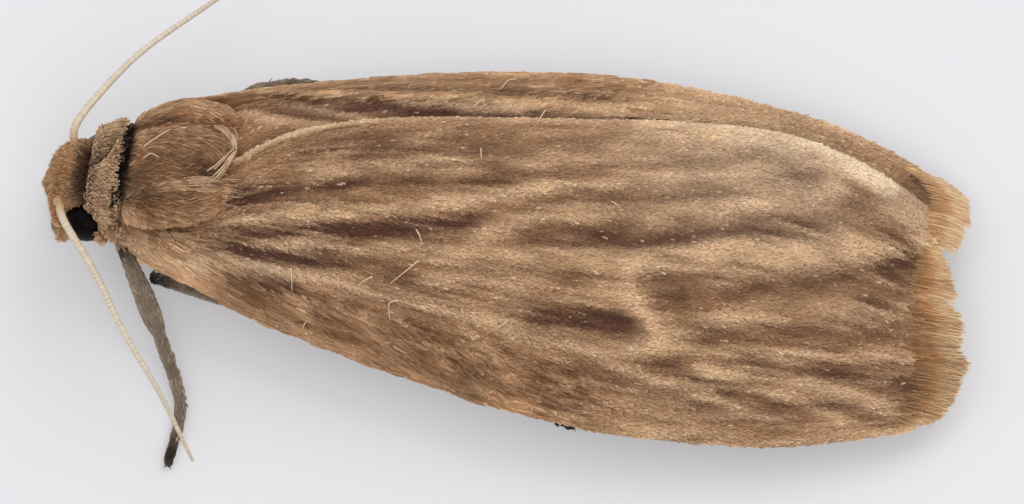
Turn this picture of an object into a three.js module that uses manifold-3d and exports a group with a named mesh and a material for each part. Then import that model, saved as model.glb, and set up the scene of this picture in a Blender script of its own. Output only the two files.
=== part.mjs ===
// A brown lichen moth at rest, life size, in millimetres.
// +X runs from the head to the wing tips, +Y to the moth's right, +Z up from the floor at zero.
// The folded wings are one roof-shaped surface, parted by thin cuts into four wings. Body, legs and
// feelers are lofted along their own centre lines, and each piece is cut clear of its neighbour.
import * as THREE from 'three';
import { mergeVertices } from 'three/addons/utils/BufferGeometryUtils.js';
import Module from 'manifold-3d';

const wasm = await Module();
wasm.setup();

// ---- Driving dimensions ----
const GAP = 0.06; // clear space between neighbouring pieces
const WING_THICKNESS = 0.45;
const WING_AXIS_Y = -0.1; // the folded wings lie a little to the left of the origin
const ROOF_POWER = 2.4; // how square the roof is across: 2 is round
const TURN = 0.15; // slope of the head and thorax against the wings, to the left in front
const THORAX_BACK = [-4.3, 0.1]; // where the turned front body meets the abdomen, x and y
const SHOULDER_X = -5.25; // front of the forewings
const LEG_SIDES = 8;
const EYE_RADIUS = 0.35;
const SOLE = 0; // level of the flats under the feet

// ---- Curves through a few named values ----

// A smooth function of x through [x, value] pairs.
function profile(points) {
  const slope = points.map((_, i) => {
    const before = points[Math.max(i - 1, 0)];
    const after = points[Math.min(i + 1, points.length - 1)];
    return (after[1] - before[1]) / (after[0] - before[0]);
  });
  return (x) => {
    const last = points.length - 1;
    if (x <= points[0][0]) return points[0][1];
    if (x >= points[last][0]) return points[last][1];
    const i = points.findIndex((point, k) => x < points[k + 1][0]);
    const width = points[i + 1][0] - points[i][0];
    const t = (x - points[i][0]) / width;
    const a = points[i][1] * (2 * t ** 3 - 3 * t ** 2 + 1) + slope[i] * width * (t ** 3 - 2 * t ** 2 + t);
    return a + points[i + 1][1] * (3 * t ** 2 - 2 * t ** 3) + slope[i + 1] * width * (t ** 3 - t ** 2);
  };
}

// The roof of the folded wings: half width, height of its eaves and height of its ridge.
const roofHalf = profile([[-5.6, 1.25], [-5, 1.43], [-4, 1.8], [-2, 2.31], [0, 2.655], [2, 2.795],
  [4, 2.66], [5, 2.455], [6, 2.135], [7.1, 1.6]]);
const roofEaves = profile([[-5.6, 1.35], [-4, 1.0], [-2, 0.92], [1, 0.89], [4, 0.75], [7.1, 0.53]]);
const roofRidge = profile([[-5.6, 2.5], [-4, 2.46], [-2, 2.38], [0, 2.2], [2, 1.93], [4, 1.55], [7.1, 0.85]]);

// The inner margin of the left forewing, which lies over the right one: y against x.
const marginY = profile([[-4.2, 0.1], [-3.3, 0.76], [-1.9, 1.23], [0.5, 1.65], [2.3, 1.96], [3.8, 2.1],
  [5, 1.87], [6, 1.4], [6.62, 0.92], [6.9, -0.2]]);

function roofHeight(x, y) {
  const across = Math.min(Math.abs(y - WING_AXIS_Y) / roofHalf(x), 1);
  return roofEaves(x) + (roofRidge(x) - roofEaves(x)) * (1 - across ** ROOF_POWER);
}

// Beside the left wing's margin the right wing dips to tuck under it, except near the tail.
const dipDepth = profile([[3.2, WING_THICKNESS + 2 * GAP], [4.6, 0.04]]);

function rightWingDip(x, y) {
  const outside = THREE.MathUtils.smoothstep(y - marginY(x), 0.08, 0.6);
  return dipDepth(x) * (1 - outside) + 0.04 * outside;
}

function bodyAxisY(x) {
  const behind = profile([[-4.3, 0.1], [-3, 0.25], [-1, 0.35], [2.6, 0.3]]);
  return x > THORAX_BACK[0] ? behind(x) : THORAX_BACK[1] + TURN * (x - THORAX_BACK[0]);
}

// ---- Closed meshes ----

function closedGeometry(vertices, faces) {
  const geometry = new THREE.BufferGeometry().setFromPoints(vertices);
  const volume = faces.reduce((sum, [a, b, c]) => {
    return sum + vertices[a].dot(new THREE.Vector3().crossVectors(vertices[b], vertices[c]));
  }, 0);
  geometry.setIndex((volume < 0 ? faces.map(([a, b, c]) => [a, c, b]) : faces).flat());
  return mergeVertices(geometry, 1e-5);
}

// The walls between rings of equally many points, joined in order.
function wallFaces(rings) {
  const count = rings[0].length;
  const faces = [];
  for (let r = 0; r + 1 < rings.length; r += 1) {
    for (let i = 0; i < count; i += 1) {
      const [a, b] = [r * count + i, r * count + ((i + 1) % count)];
      faces.push([a, b, b + count], [a, b + count, a + count]);
    }
  }
  return faces;
}

// A body of rings, closed by a fan about the centre of each end ring.
function loft(rings) {
  const count = rings[0].length;
  const vertices = rings.flat();
  const faces = wallFaces(rings);
  [0, rings.length - 1].forEach((r) => {
    const centre = rings[r].reduce((sum, p) => sum.add(p), new THREE.Vector3()).divideScalar(count);
    const hub = vertices.push(centre) - 1;
    for (let i = 0; i < count; i += 1) {
      const [a, b] = [r * count + i, r * count + ((i + 1) % count)];
      faces.push(r === 0 ? [b, a, hub] : [a, b, hub]);
    }
  });
  return closedGeometry(vertices, faces);
}

// A plate between an outer and an inner surface, both given over a grid of 0 to 1 by 0 to 1.
function plate(columns, rows, outer, inner) {
  const rings = [];
  for (let c = 0; c <= columns; c += 1) {
    const ring = [];
    for (let r = 0; r <= rows; r += 1) ring.push(outer(c / columns, r / rows));
    for (let r = rows; r >= 0; r -= 1) ring.push(inner(c / columns, r / rows));
    rings.push(ring);
  }
  const count = 2 * (rows + 1);
  const faces = wallFaces(rings);
  [0, columns].forEach((c) => {
    for (let i = 0; i < rows; i += 1) {
      const [a, b] = [c * count + i, c * count + i + 1];
      const [under, beside] = [(c + 1) * count - 2 - i, (c + 1) * count - 1 - i];
      faces.push(...(c === 0 ? [[a, beside, under], [a, under, b]] : [[a, under, beside], [a, b, under]]));
    }
  });
  return closedGeometry(rings.flat(), faces);
}

function toManifold(geometry) {
  return new wasm.Manifold(new wasm.Mesh({
    numProp: 3,
    vertProperties: new Float32Array(geometry.attributes.position.array),
    triVerts: new Uint32Array(geometry.index.array),
  }));
}

// The largest piece left of a geometry once the cutters are taken away.
function carve(geometry, ...cutters) {
  const solid = cutters.reduce((rest, cutter) => rest.subtract(toManifold(cutter)), toManifold(geometry));
  const largest = solid.decompose().sort((a, b) => b.volume() - a.volume())[0];
  const mesh = largest.getMesh();
  const result = new THREE.BufferGeometry();
  result.setAttribute('position', new THREE.BufferAttribute(new Float32Array(mesh.vertProperties), 3));
  result.setIndex(Array.from(mesh.triVerts));
  return result;
}

// ---- Body lofted along its axis ----

// Sections of the body against x: half width, top and bottom.
const FRONT_BODY = {
  half: profile([[-7.1, 0.62], [-6.6, 0.7], [-6.25, 0.62], [-5.9, 0.7], [-5.2, 0.86], [-4.5, 0.82], [-4.1, 0.68]]),
  top: profile([[-7.1, 1.85], [-6.6, 2.06], [-6.25, 1.98], [-5.9, 2.2], [-5.2, 2.55], [-4.6, 2.52], [-4.2, 2.36]]),
  bottom: profile([[-7.1, 0.9], [-6.6, 0.84], [-6.25, 0.9], [-5.9, 0.82], [-5.2, 0.66], [-4.2, 0.58]]),
};
const ABDOMEN = {
  half: profile([[-4.1, 0.64], [-3, 0.62], [-1, 0.6], [1, 0.52], [2.6, 0.26]]),
  top: profile([[-4.1, 1.36], [-2, 1.34], [0, 1.28], [2.6, 0.95]]),
  bottom: profile([[-4.1, 0.5], [-2, 0.42], [0, 0.44], [2.6, 0.52]]),
};

// One point of a body's surface, turned by angle from the top towards a side, and set off outwards.
function bodyPoint(body, x, angle, off = 0, end = 1) {
  const middle = (body.top(x) + body.bottom(x)) / 2;
  const height = (body.top(x) - body.bottom(x)) / 2;
  const y = bodyAxisY(x) + (body.half(x) * end + off) * Math.sin(angle);
  return new THREE.Vector3(x, y, middle + (height * end + off) * Math.cos(angle));
}

// A length of a body from x0 to x1, rounded off over roundFront or roundBack where one is given.
function bodyLength(body, x0, x1, { rings = 4, sides = 14, roundFront = 0, roundBack = 0 } = {}) {
  const bunched = (t) => {
    if (roundFront) return x0 + (x1 - x0) * t ** 1.6;
    if (roundBack) return x1 - (x1 - x0) * (1 - t) ** 1.6;
    return x0 + (x1 - x0) * t;
  };
  return loft(Array.from({ length: rings + 1 }, (_, i) => {
    const x = bunched(i / rings);
    const front = roundFront ? Math.min((x - x0) / roundFront, 1) : 1;
    const back = roundBack ? Math.min((x1 - x) / roundBack, 1) : 1;
    const end = Math.max(Math.sqrt(1 - (1 - Math.min(front, back)) ** 2), 0.16);
    return Array.from({ length: sides }, (_, k) => bodyPoint(body, x, (2 * Math.PI * k) / sides, 0, end));
  }));
}

// A plate on the body's side: from x0 to x1, between two angles that may change along it.
function bodyPlate(side, x0, x1, fromAngle, toAngle, off, thickness, columns, rows) {
  const swell = (t) => 0.5 + 0.5 * Math.sqrt(Math.max(1 - (2 * t - 1) ** 4, 0));
  const surface = (height) => (s, v) => {
    const angle = THREE.MathUtils.lerp(fromAngle(s), toAngle(s), v);
    return bodyPoint(FRONT_BODY, x0 + (x1 - x0) * s, side * angle, off + height * swell(s) * swell(v));
  };
  return plate(columns, rows, surface(thickness), surface(0));
}

// ---- Wings ----

// A patch filled in between its four boundary curves.
function coonsPoint({ inner, outer, base, tip }, s, v) {
  const [i, o, b, t] = [inner.getPoint(s), outer.getPoint(s), base.getPoint(v), tip.getPoint(v)];
  const corner = (curve, at, weight) => curve.getPoint(at).multiplyScalar(weight);
  return i.multiplyScalar(1 - v).add(o.multiplyScalar(v))
    .add(b.multiplyScalar(1 - s)).add(t.multiplyScalar(s))
    .sub(corner(inner, 0, (1 - s) * (1 - v))).sub(corner(outer, 0, (1 - s) * v))
    .sub(corner(inner, 1, s * (1 - v))).sub(corner(outer, 1, s * v));
}

function curveThrough(points) {
  return new THREE.SplineCurve(points.map(([x, y]) => new THREE.Vector2(x, y)));
}

// A boundary curve that follows y = f(x) from x0 to x1.
function curveAlong(x0, x1, f) {
  return curveThrough(Array.from({ length: 13 }, (_, i) => {
    const x = x0 + ((x1 - x0) * i) / 12;
    return [x, f(x)];
  }));
}

// A wing is a plate under the roof: drop says how far its top lies below the roof's surface.
function wing(columns, rows, boundary, drop) {
  const surface = (below) => (s, v) => {
    const { x, y } = coonsPoint(boundary, s, v);
    return new THREE.Vector3(x, y, roofHeight(x, y) - drop(x, y) - below);
  };
  return plate(columns, rows, surface(0), surface(WING_THICKNESS));
}

const leftCosta = (x) => WING_AXIS_Y - roofHalf(x);
const rightCosta = (x) => WING_AXIS_Y + roofHalf(x);

function forewingLeft() {
  const boundary = {
    inner: curveAlong(-4.12, 6.62, marginY),
    outer: curveAlong(SHOULDER_X, 6.4, leftCosta),
    base: curveThrough([[-4.12, marginY(-4.12)], [-4.05, -0.5], [-4.12, -1.0], [-4.45, -1.3],
      [-4.95, -1.36], [SHOULDER_X, leftCosta(SHOULDER_X)]]),
    tip: curveThrough([[6.62, marginY(6.62)], [6.78, 0.1], [7.02, -0.7], [7.06, -1.2], [6.96, -1.7],
      [6.4, leftCosta(6.4)]]),
  };
  return wing(26, 10, boundary, () => 0);
}

// The right forewing's hidden inner edge, a little way in under the left one.
const tuck = profile([[-4.1, 0.04], [-3, 0.24], [-1.5, 0.34], [2.1, 0.3], [3.1, -GAP], [6.5, -GAP]]);
const hiddenEdge = (x) => marginY(x) - tuck(x);

function forewingRight() {
  const boundary = {
    inner: curveAlong(-4.05, 6.5, hiddenEdge),
    outer: curveAlong(SHOULDER_X, 6.35, rightCosta),
    base: curveThrough([[-4.05, hiddenEdge(-4.05)], [-4.0, 0.7], [-4.1, 1.15], [-4.5, 1.36],
      [SHOULDER_X, rightCosta(SHOULDER_X)]]),
    tip: curveThrough([[6.5, hiddenEdge(6.5)], [6.76, 1.1], [6.68, 1.5], [6.35, rightCosta(6.35)]]),
  };
  return wing(26, 7, boundary, rightWingDip);
}

// A hindwing lies folded beside the abdomen, under the forewings: its edges are y against x.
function hindwing(inner, outer, cover) {
  const [front, back] = [-3.6, 4.4];
  const end = (x, bulge) => curveThrough([[x, inner(x)], [x + bulge, (inner(x) + outer(x)) / 2], [x, outer(x)]]);
  const boundary = {
    inner: curveAlong(front, back, inner),
    outer: curveAlong(front, back, outer),
    base: end(front, 0),
    tip: end(back, 0.15),
  };
  return wing(14, 3, boundary, (x, y) => cover(x, y) + WING_THICKNESS + 1.3 * GAP);
}

const hindwingLeft = () => hindwing(
  profile([[-3.6, -0.56], [-1, -0.4], [1, -0.42], [4.4, -0.7]]),
  profile([[-3.6, -1.2], [-2, -1.6], [0, -2.0], [2, -2.1], [4.4, -1.6]]),
  () => 0,
);

// The right hindwing also passes under the right forewing, which ends at its hidden edge.
const hindwingRight = () => hindwing(
  profile([[-3.6, 0.98], [-1, 1.08], [1, 0.96], [4.4, 0.86]]),
  profile([[-3.6, 1.22], [-2, 1.3], [-1, 1.5], [0, 1.54], [2, 1.4], [4.4, 1.24]]),
  (x, y) => rightWingDip(x, y) * (1 - THREE.MathUtils.smoothstep(hiddenEdge(x) - y, GAP, 0.34)),
);

// ---- Legs, feelers and eyes ----

// A tube of changing radius through the given points; below the sole's level it is cut flat.
function limb(points, radii, { grow = 0, steps = 5, sides = LEG_SIDES } = {}) {
  const path = new THREE.CatmullRomCurve3(points.map((p) => new THREE.Vector3(...p)));
  const radiusAt = profile(radii.map((r, i) => [i / (radii.length - 1), r]));
  const up = new THREE.Vector3(0, 0, 1);
  const rings = [];
  for (let k = 0; k <= steps; k += 1) {
    const t = k / steps;
    const tangent = path.getTangentAt(t);
    const centre = path.getPointAt(t).addScaledVector(tangent, grow * (2 * t - 1));
    const aside = new THREE.Vector3().crossVectors(up, tangent).normalize();
    const over = new THREE.Vector3().crossVectors(tangent, aside);
    const endRound = k === 0 || k === steps ? 0.72 : 1;
    const radius = radiusAt(t) * endRound + grow;
    rings.push(Array.from({ length: sides }, (_, i) => {
      const angle = (2 * Math.PI * (i + 0.5)) / sides;
      const point = centre.clone().addScaledVector(aside, radius * Math.cos(angle))
        .addScaledVector(over, radius * Math.sin(angle));
      point.z = Math.max(point.z, SOLE - grow);
      return point;
    }));
  }
  return loft(rings);
}

// Each leg by its joints: on the body, at the trochanter, knee and ankle, along the foot and at its tip.
const LEGS = {
  fore_left: { body: [-5.72, -0.5, 0.9], trochanter: [-5.4, -0.62, 0.42], knee: [-5.74, -1.14, 1.12],
    ankle: [-5.12, -2.12, 0.46], foot: [[-4.62, -3.15, 0.19], [-4.71, -4.12, 0.16]] },
  fore_right: { body: [-5.68, 0.18, 0.9], trochanter: [-5.35, 0.32, 0.42], knee: [-5.82, 0.9, 0.72],
    ankle: [-6.55, 0.62, 0.34], foot: [[-6.95, 0.1, 0.19], [-6.72, -0.68, 0.16]] },
  mid_left: { body: [-5.0, -0.5, 0.72], trochanter: [-4.72, -0.75, 0.36], knee: [-5.28, -1.3, 0.46],
    ankle: [-3.98, -1.5, 0.3], foot: [[-3.1, -1.72, 0.19], [-2.15, -2.02, 0.16]] },
  mid_right: { body: [-4.95, 0.42, 0.72], trochanter: [-4.65, 0.7, 0.36], knee: [-4.75, 1.25, 0.5],
    ankle: [-4.04, 2.02, 0.26], foot: [[-3.49, 2.18, 0.19], [-2.45, 2.15, 0.16]] },
  hind_left: { body: [-4.2, -0.42, 0.66], trochanter: [-3.9, -0.6, 0.34], knee: [-3.2, -1.1, 0.6],
    ankle: [-0.9, -1.95, 0.28], foot: [[0.2, -2.35, 0.18], [1.34, -2.66, 0.16]] },
  hind_right: { body: [-4.15, 0.55, 0.66], trochanter: [-3.85, 0.78, 0.34], knee: [-3.15, 1.32, 0.54],
    ankle: [-0.9, 2.18, 0.26], foot: [[0.2, 2.35, 0.18], [1.34, 2.5, 0.16]] },
};
const LEG_RADII = { coxa: [0.27, 0.24], femur: [0.21, 0.25, 0.22], tibia: [0.21, 0.24, 0.21],
  tarsus: [0.22, 0.22, 0.2] };

// Coxa, femur, tibia and tarsus; each is cut back where the one before it ends.
function legPieces({ body, trochanter, knee, ankle, foot }) {
  const routes = { coxa: [body, trochanter], femur: [trochanter, knee], tibia: [knee, ankle],
    tarsus: [ankle, ...foot] };
  const shape = (name, grow) => limb(routes[name], LEG_RADII[name], { grow, steps: name === 'tarsus' ? 6 : 3 });
  return {
    coxa: shape('coxa', 0),
    femur: carve(shape('femur', 0), shape('coxa', GAP)),
    tibia: carve(shape('tibia', 0), shape('femur', GAP)),
    tarsus: carve(shape('tarsus', 0), shape('tibia', GAP)),
  };
}

// Each feeler is a scape and two lengths of flagellum, bent gently outwards and back.
const ANTENNAE = {
  left: { base: [-6.84, -0.5, 1.66], bend: [-6.7, -0.98, 1.78], route: [[-6.08, -1.68, 1.55],
    [-5.52, -2.46, 1.2], [-4.86, -3.26, 0.94], [-4.24, -4.16, 0.74]] },
  right: { base: [-6.8, 0.14, 1.66], bend: [-6.68, 0.5, 1.78], route: [[-6.3, 1.3, 1.55],
    [-5.82, 2.02, 1.35], [-5.02, 2.9, 1.1], [-4.2, 3.78, 0.9]] },
};
const SCAPE_RADII = [0.22, 0.23, 0.2];
const FLAGELLUM_RADII = [0.2, 0.21, 0.2];
const FLAGELLUM_TIP_RADII = [0.2, 0.19, 0.16];

function antennaPieces({ base, bend, route }) {
  const scape = (grow) => limb([base, bend], SCAPE_RADII, { grow, steps: 3 });
  const near = (grow) => limb([bend, route[0], route[1]], FLAGELLUM_RADII, { grow, steps: 5 });
  const far = limb(route.slice(1), FLAGELLUM_TIP_RADII, { steps: 6 });
  return { scape: scape(0), flagellum_near: carve(near(0), scape(GAP)), flagellum_far: carve(far, near(GAP)) };
}

const EYES = { left: [-6.33, -0.83, 1.36], right: [-6.4, 0.33, 1.36] };
const PALPS = {
  left: [[-6.76, -0.48, 0.98], [-6.9, -0.66, 0.8], [-6.84, -0.78, 0.7]],
  right: [[-6.8, -0.02, 0.98], [-6.92, 0.14, 0.8], [-6.84, 0.28, 0.7]],
};
const PALP_RADII = [0.2, 0.21, 0.17];

function eye(centre, grow = 0) {
  const ball = new THREE.SphereGeometry(EYE_RADIUS + grow, 14, 8).translate(...centre);
  ball.deleteAttribute('normal').deleteAttribute('uv');
  return mergeVertices(ball, 1e-5);
}

// ---- The moth ----

const COLOURS = { scales: 0x956e4e, headFur: 0x9c7756, collar: 0x9b7e63, belly: 0x8a7358, leg: 0x7f6c59,
  feeler: 0xcdb995, eye: 0x0b0609, hindwing: 0x9a8f84 };
const moth = new THREE.Group();

function add(name, geometry, colour, roughness = 0.8) {
  const mesh = new THREE.Mesh(geometry, new THREE.MeshStandardMaterial({ color: colour, roughness, metalness: 0 }));
  mesh.name = name;
  moth.add(mesh);
}

const sides = { left: -1, right: 1 };
const legs = Object.entries(LEGS).map(([name, joints]) => [name, legPieces(joints)]);
const coxaSockets = Object.values(LEGS).map(({ body, trochanter }) => {
  return limb([body, trochanter], LEG_RADII.coxa, { grow: GAP, steps: 3 });
});

function addHead() {
  const cutters = [];
  Object.entries(sides).forEach(([side]) => {
    const { base, bend } = ANTENNAE[side];
    cutters.push(eye(EYES[side], GAP), limb([base, bend], SCAPE_RADII, { grow: GAP, steps: 3 }),
      limb(PALPS[side], PALP_RADII, { grow: GAP, steps: 4 }));
  });
  const skull = bodyLength(FRONT_BODY, -7.1, -6.28, { rings: 6, roundFront: 0.6 });
  add('head', carve(skull, ...cutters), COLOURS.headFur);
  Object.entries(sides).forEach(([side]) => {
    const pieces = antennaPieces(ANTENNAE[side]);
    const scapeSocket = limb([ANTENNAE[side].base, ANTENNAE[side].bend], SCAPE_RADII, { grow: GAP, steps: 3 });
    add(`eye_${side}`, carve(eye(EYES[side]), scapeSocket), COLOURS.eye, 0.15);
    add(`palp_${side}`, limb(PALPS[side], PALP_RADII, { steps: 4 }), COLOURS.belly);
    Object.entries(pieces).forEach(([name, geometry]) => {
      add(`antenna_${side}_${name}`, geometry, COLOURS.feeler);
    });
  });
}

function addThorax() {
  const collarThickness = 0.34;
  const tegulaThickness = 0.32;
  const even = (degrees) => () => THREE.MathUtils.degToRad(degrees);
  const along = (points) => (s) => THREE.MathUtils.degToRad(profile(points)(s));
  const eyeSockets = Object.values(EYES).map((centre) => eye(centre, GAP));
  const trunk = (x0, x1, rings) => carve(bodyLength(FRONT_BODY, x0, x1, { rings }), ...coxaSockets);
  add('prothorax', carve(trunk(-6.22, -5.88, 2), ...eyeSockets), COLOURS.belly);
  add('thorax', trunk(-5.82, -4.56, 5), COLOURS.scales);
  add('metathorax', trunk(-4.5, -4.2, 2), COLOURS.scales);
  Object.entries(sides).forEach(([side, sign]) => {
    const collar = bodyPlate(sign, -6.24, -5.86, even(2), even(104), GAP, collarThickness, 4, 7);
    add(`collar_${side}`, carve(collar, ...eyeSockets), COLOURS.collar);
    const lower = along([[0, 78], [0.3, 96], [0.7, 84], [1, 62]]);
    const upper = along([[0, 40], [0.4, 30], [1, 34]]);
    add(`tegula_${side}`, bodyPlate(sign, -5.78, -4.2, upper, lower, GAP, tegulaThickness, 8, 5),
      COLOURS.scales);
  });
}

function addAbdomen() {
  const front = -4.14;
  const back = 2.6;
  const segments = 7;
  const pitch = (back - front) / segments;
  for (let i = 0; i < segments; i += 1) {
    const x0 = front + i * pitch;
    const last = i === segments - 1;
    const options = { rings: last ? 4 : 2, sides: 12, roundBack: last ? 0.6 : 0 };
    add(`abdomen_${i + 1}`, carve(bodyLength(ABDOMEN, x0, x0 + pitch - GAP, options), ...coxaSockets), COLOURS.belly);
  }
}

function addWings() {
  add('forewing_left', forewingLeft(), COLOURS.scales);
  add('forewing_right', forewingRight(), COLOURS.scales);
  add('hindwing_left', hindwingLeft(), COLOURS.hindwing);
  add('hindwing_right', hindwingRight(), COLOURS.hindwing);
}

function addLegs() {
  legs.forEach(([name, pieces]) => {
    Object.entries(pieces).forEach(([piece, geometry]) => add(`${name}_${piece}`, geometry, COLOURS.leg));
  });
}

addHead();
addThorax();
addAbdomen();
addWings();
addLegs();

// The origin is at the middle of the whole moth's box, on the floor.
const box = new THREE.Box3().setFromObject(moth);
moth.position.set(-(box.min.x + box.max.x) / 2, -(box.min.y + box.max.y) / 2, -box.min.z);

export default moth;
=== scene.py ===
"""A brown lichen moth at rest, life size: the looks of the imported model.

Shapes are worked out in millimetres, in the wings' own frame: +X from head to wing tips, +Y to the
moth's right, +Z up. place() moves each finished mesh into the row frame, in metres.
"""

import math

import bpy
import numpy as np
from mathutils import Matrix, Vector


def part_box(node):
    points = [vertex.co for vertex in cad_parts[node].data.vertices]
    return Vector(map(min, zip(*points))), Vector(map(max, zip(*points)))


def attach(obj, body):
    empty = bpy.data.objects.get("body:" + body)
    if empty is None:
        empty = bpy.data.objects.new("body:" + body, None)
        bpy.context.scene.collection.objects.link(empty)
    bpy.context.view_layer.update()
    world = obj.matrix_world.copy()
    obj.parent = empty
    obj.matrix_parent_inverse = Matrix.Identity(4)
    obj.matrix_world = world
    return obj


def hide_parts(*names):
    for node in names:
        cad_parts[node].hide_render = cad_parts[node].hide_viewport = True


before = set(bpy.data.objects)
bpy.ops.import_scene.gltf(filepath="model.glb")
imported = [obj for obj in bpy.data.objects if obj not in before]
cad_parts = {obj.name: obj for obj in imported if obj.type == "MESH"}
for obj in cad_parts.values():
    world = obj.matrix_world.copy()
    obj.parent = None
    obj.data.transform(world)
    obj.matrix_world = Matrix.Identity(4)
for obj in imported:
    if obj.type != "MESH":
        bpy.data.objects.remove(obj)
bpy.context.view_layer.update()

# ---- Driving dimensions, in millimetres ----
MM = 0.001  # metres in a millimetre
WING_AXIS_Y = -0.1  # the folded wings lie a little to the left of the body's root
ROOF_POWER = 2.4  # how square the folded wings are across: 2 is round
TURN = 0.15  # slope of the head and thorax against the wings
THORAX_BACK = (-4.3, 0.1)  # where the turned front body meets the abdomen, x and y
WING_SCALE_DEPTH = 0.055  # thickness of the scale coat on a wing
MEMBRANE = 0.03  # thickness of a wing without its scales
EYE_RADIUS = 0.35
EYES = {"left": (-6.33, -0.83, 1.36), "right": (-6.4, 0.14, 1.2)}
PATCH = 0.003  # side of one scale's place in the bake map
NOISE_WAVES = 14

eye_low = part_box("eye_left")[0] / MM
SHIFT = np.array([eye_low.x + EYE_RADIUS - EYES["left"][0],
                  eye_low.y + EYE_RADIUS - EYES["left"][1], 0.0])


# ---- Curves through a few named values ----

def profile(points):
    """A smooth function of x through (x, value) pairs."""
    xs, values = np.array(points, float).T
    last = len(xs) - 1
    index = np.arange(last + 1)
    before, after = np.maximum(index - 1, 0), np.minimum(index + 1, last)
    slope = (values[after] - values[before]) / (xs[after] - xs[before])

    def at(x):
        x = np.clip(np.asarray(x, float), xs[0], xs[-1])
        i = np.clip(np.searchsorted(xs, x, side="right") - 1, 0, last - 1)
        width = xs[i + 1] - xs[i]
        t = (x - xs[i]) / width
        start = values[i] * (2 * t**3 - 3 * t**2 + 1) + slope[i] * width * (t**3 - 2 * t**2 + t)
        return start + values[i + 1] * (3 * t**2 - 2 * t**3) + slope[i + 1] * width * (t**3 - t**2)

    return at


def smoothstep(x, low, high):
    t = np.clip((np.asarray(x, float) - low) / (high - low), 0, 1)
    return t * t * (3 - 2 * t)


def spline(points, t):
    """Points at t, 0 to 1, on a smooth curve through the given ones."""
    points = np.array(points, float)
    ends = [2 * points[0] - points[1], *points, 2 * points[-1] - points[-2]]
    padded = np.array(ends)
    at = np.clip(np.asarray(t, float), 0, 1) * (len(points) - 1)
    i = np.minimum(at.astype(int), len(points) - 2)
    f = (at - i)[..., None]
    a, b, c, d = padded[i], padded[i + 1], padded[i + 2], padded[i + 3]
    return 0.5 * (2 * b + (c - a) * f + (2 * a - 5 * b + 4 * c - d) * f**2
                  + (3 * b - a - 3 * c + d) * f**3)


def unit(vectors):
    return vectors / np.maximum(np.linalg.norm(vectors, axis=-1, keepdims=True), 1e-9)


def part_way(points, a, b):
    """How far along the line from a to b each point lies: 0 at a and before it, 1 at b and past it."""
    return np.clip((points - a) @ (b - a) / ((b - a) @ (b - a)), 0, 1)


def noise(points, size, seed):
    """Smooth noise between about -1 and 1, from waves of about the given size."""
    waves = np.random.default_rng(seed)
    total = np.zeros(len(points))
    for _ in range(NOISE_WAVES):
        direction = unit(waves.normal(size=3))
        pitch = size * waves.uniform(0.6, 1.6)
        total += np.sin(points @ direction * 2 * math.pi / pitch + waves.uniform(0, 2 * math.pi))
    return total / math.sqrt(NOISE_WAVES / 2) / 1.6


# ---- The folded wings ----

# By x: how far each wing reaches aside of the ridge, and the heights of the roof's eaves and ridge.
LEFT_HALF = profile([(-6.1, 0.8), (-5.66, 1.02), (-5.42, 1.18), (-4.88, 1.36), (-4.4, 1.5), (-4, 1.65),
                     (-3, 1.94), (-2, 2.19), (-1, 2.38), (0, 2.59), (1, 2.73), (2, 2.795), (4, 2.66),
                     (5, 2.455), (6, 2.135), (7.1, 1.6)])
RIGHT_HALF = profile([(-5.6, 1.25), (-5, 1.43), (-4, 1.8), (-2, 2.31), (0, 2.655), (2, 2.795),
                      (4, 2.65), (5, 2.43), (5.5, 2.26), (6, 2.04), (7.1, 1.4)])
ROOF_EAVES = profile([(-5.6, 1.35), (-4, 1.0), (-2, 0.92), (1, 0.89), (4, 0.75), (7.1, 0.53)])
ROOF_RIDGE = profile([(-5.6, 2.5), (-4, 2.46), (-2, 2.38), (0, 2.2), (2, 1.93), (4, 1.55), (7.1, 0.85)])
# By x: the left wing's margin, which lies over the right wing, and how far the right wing is tucked under.
MARGIN_Y = profile([(-4.2, 0.1), (-3.3, 0.76), (-1.9, 1.23), (0.5, 1.65), (2.3, 1.96), (3.8, 2.1),
                    (5, 1.87), (6, 1.4), (6.62, 0.92), (6.9, -0.2)])
TUCK = profile([(-4.1, 0.04), (-3, 0.24), (-1.5, 0.34), (2.1, 0.3), (4, 0.5), (6.3, 0.5)])


def across(x, y):
    """0 along the ridge of the folded wings, 1 at their outer edges."""
    half = np.where(y < WING_AXIS_Y, LEFT_HALF(x), RIGHT_HALF(x))
    return np.minimum(np.abs(y - WING_AXIS_Y) / half, 1)


def roof_height(x, y):
    return ROOF_EAVES(x) + (ROOF_RIDGE(x) - ROOF_EAVES(x)) * (1 - across(x, y)**ROOF_POWER)


def left_costa(x):
    return WING_AXIS_Y - LEFT_HALF(x)


def right_costa(x):
    return WING_AXIS_Y + RIGHT_HALF(x)


def hidden_edge(x):
    return MARGIN_Y(x) - TUCK(x)


def along(x0, x1, edge):
    """A boundary curve of t that follows y = edge(x) from x0 to x1."""
    return lambda t: np.stack([x0 + (x1 - x0) * t, edge(x0 + (x1 - x0) * t)], -1)


def through(*points):
    return lambda t: spline(points, t)


def outline(inner, outer, inner_x, outer_x, base, tip):
    """A wing's four boundary curves: its inner and outer edges, and its base and tip between their ends."""
    (base_in, base_out), (tip_in, tip_out) = [
        [(x, float(edge(x))) for x, edge in zip(ends, (inner, outer))] for ends in zip(inner_x, outer_x)]
    return {"inner": along(*inner_x, inner), "outer": along(*outer_x, outer),
            "base": through(base_in, *base, base_out), "tip": through(tip_in, *tip, tip_out)}


def forewing_left():
    return outline(MARGIN_Y, left_costa, (-4.35, 6.3), (-5.9, 6.2),
                   base=[(-4.6, -0.35), (-4.85, -0.72), (-5.3, -0.85), (-5.7, -0.84)],
                   tip=[(6.27, 0.5), (6.2, -0.2), (6.28, -0.85), (6.42, -1.35), (6.42, -1.8)])


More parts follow.
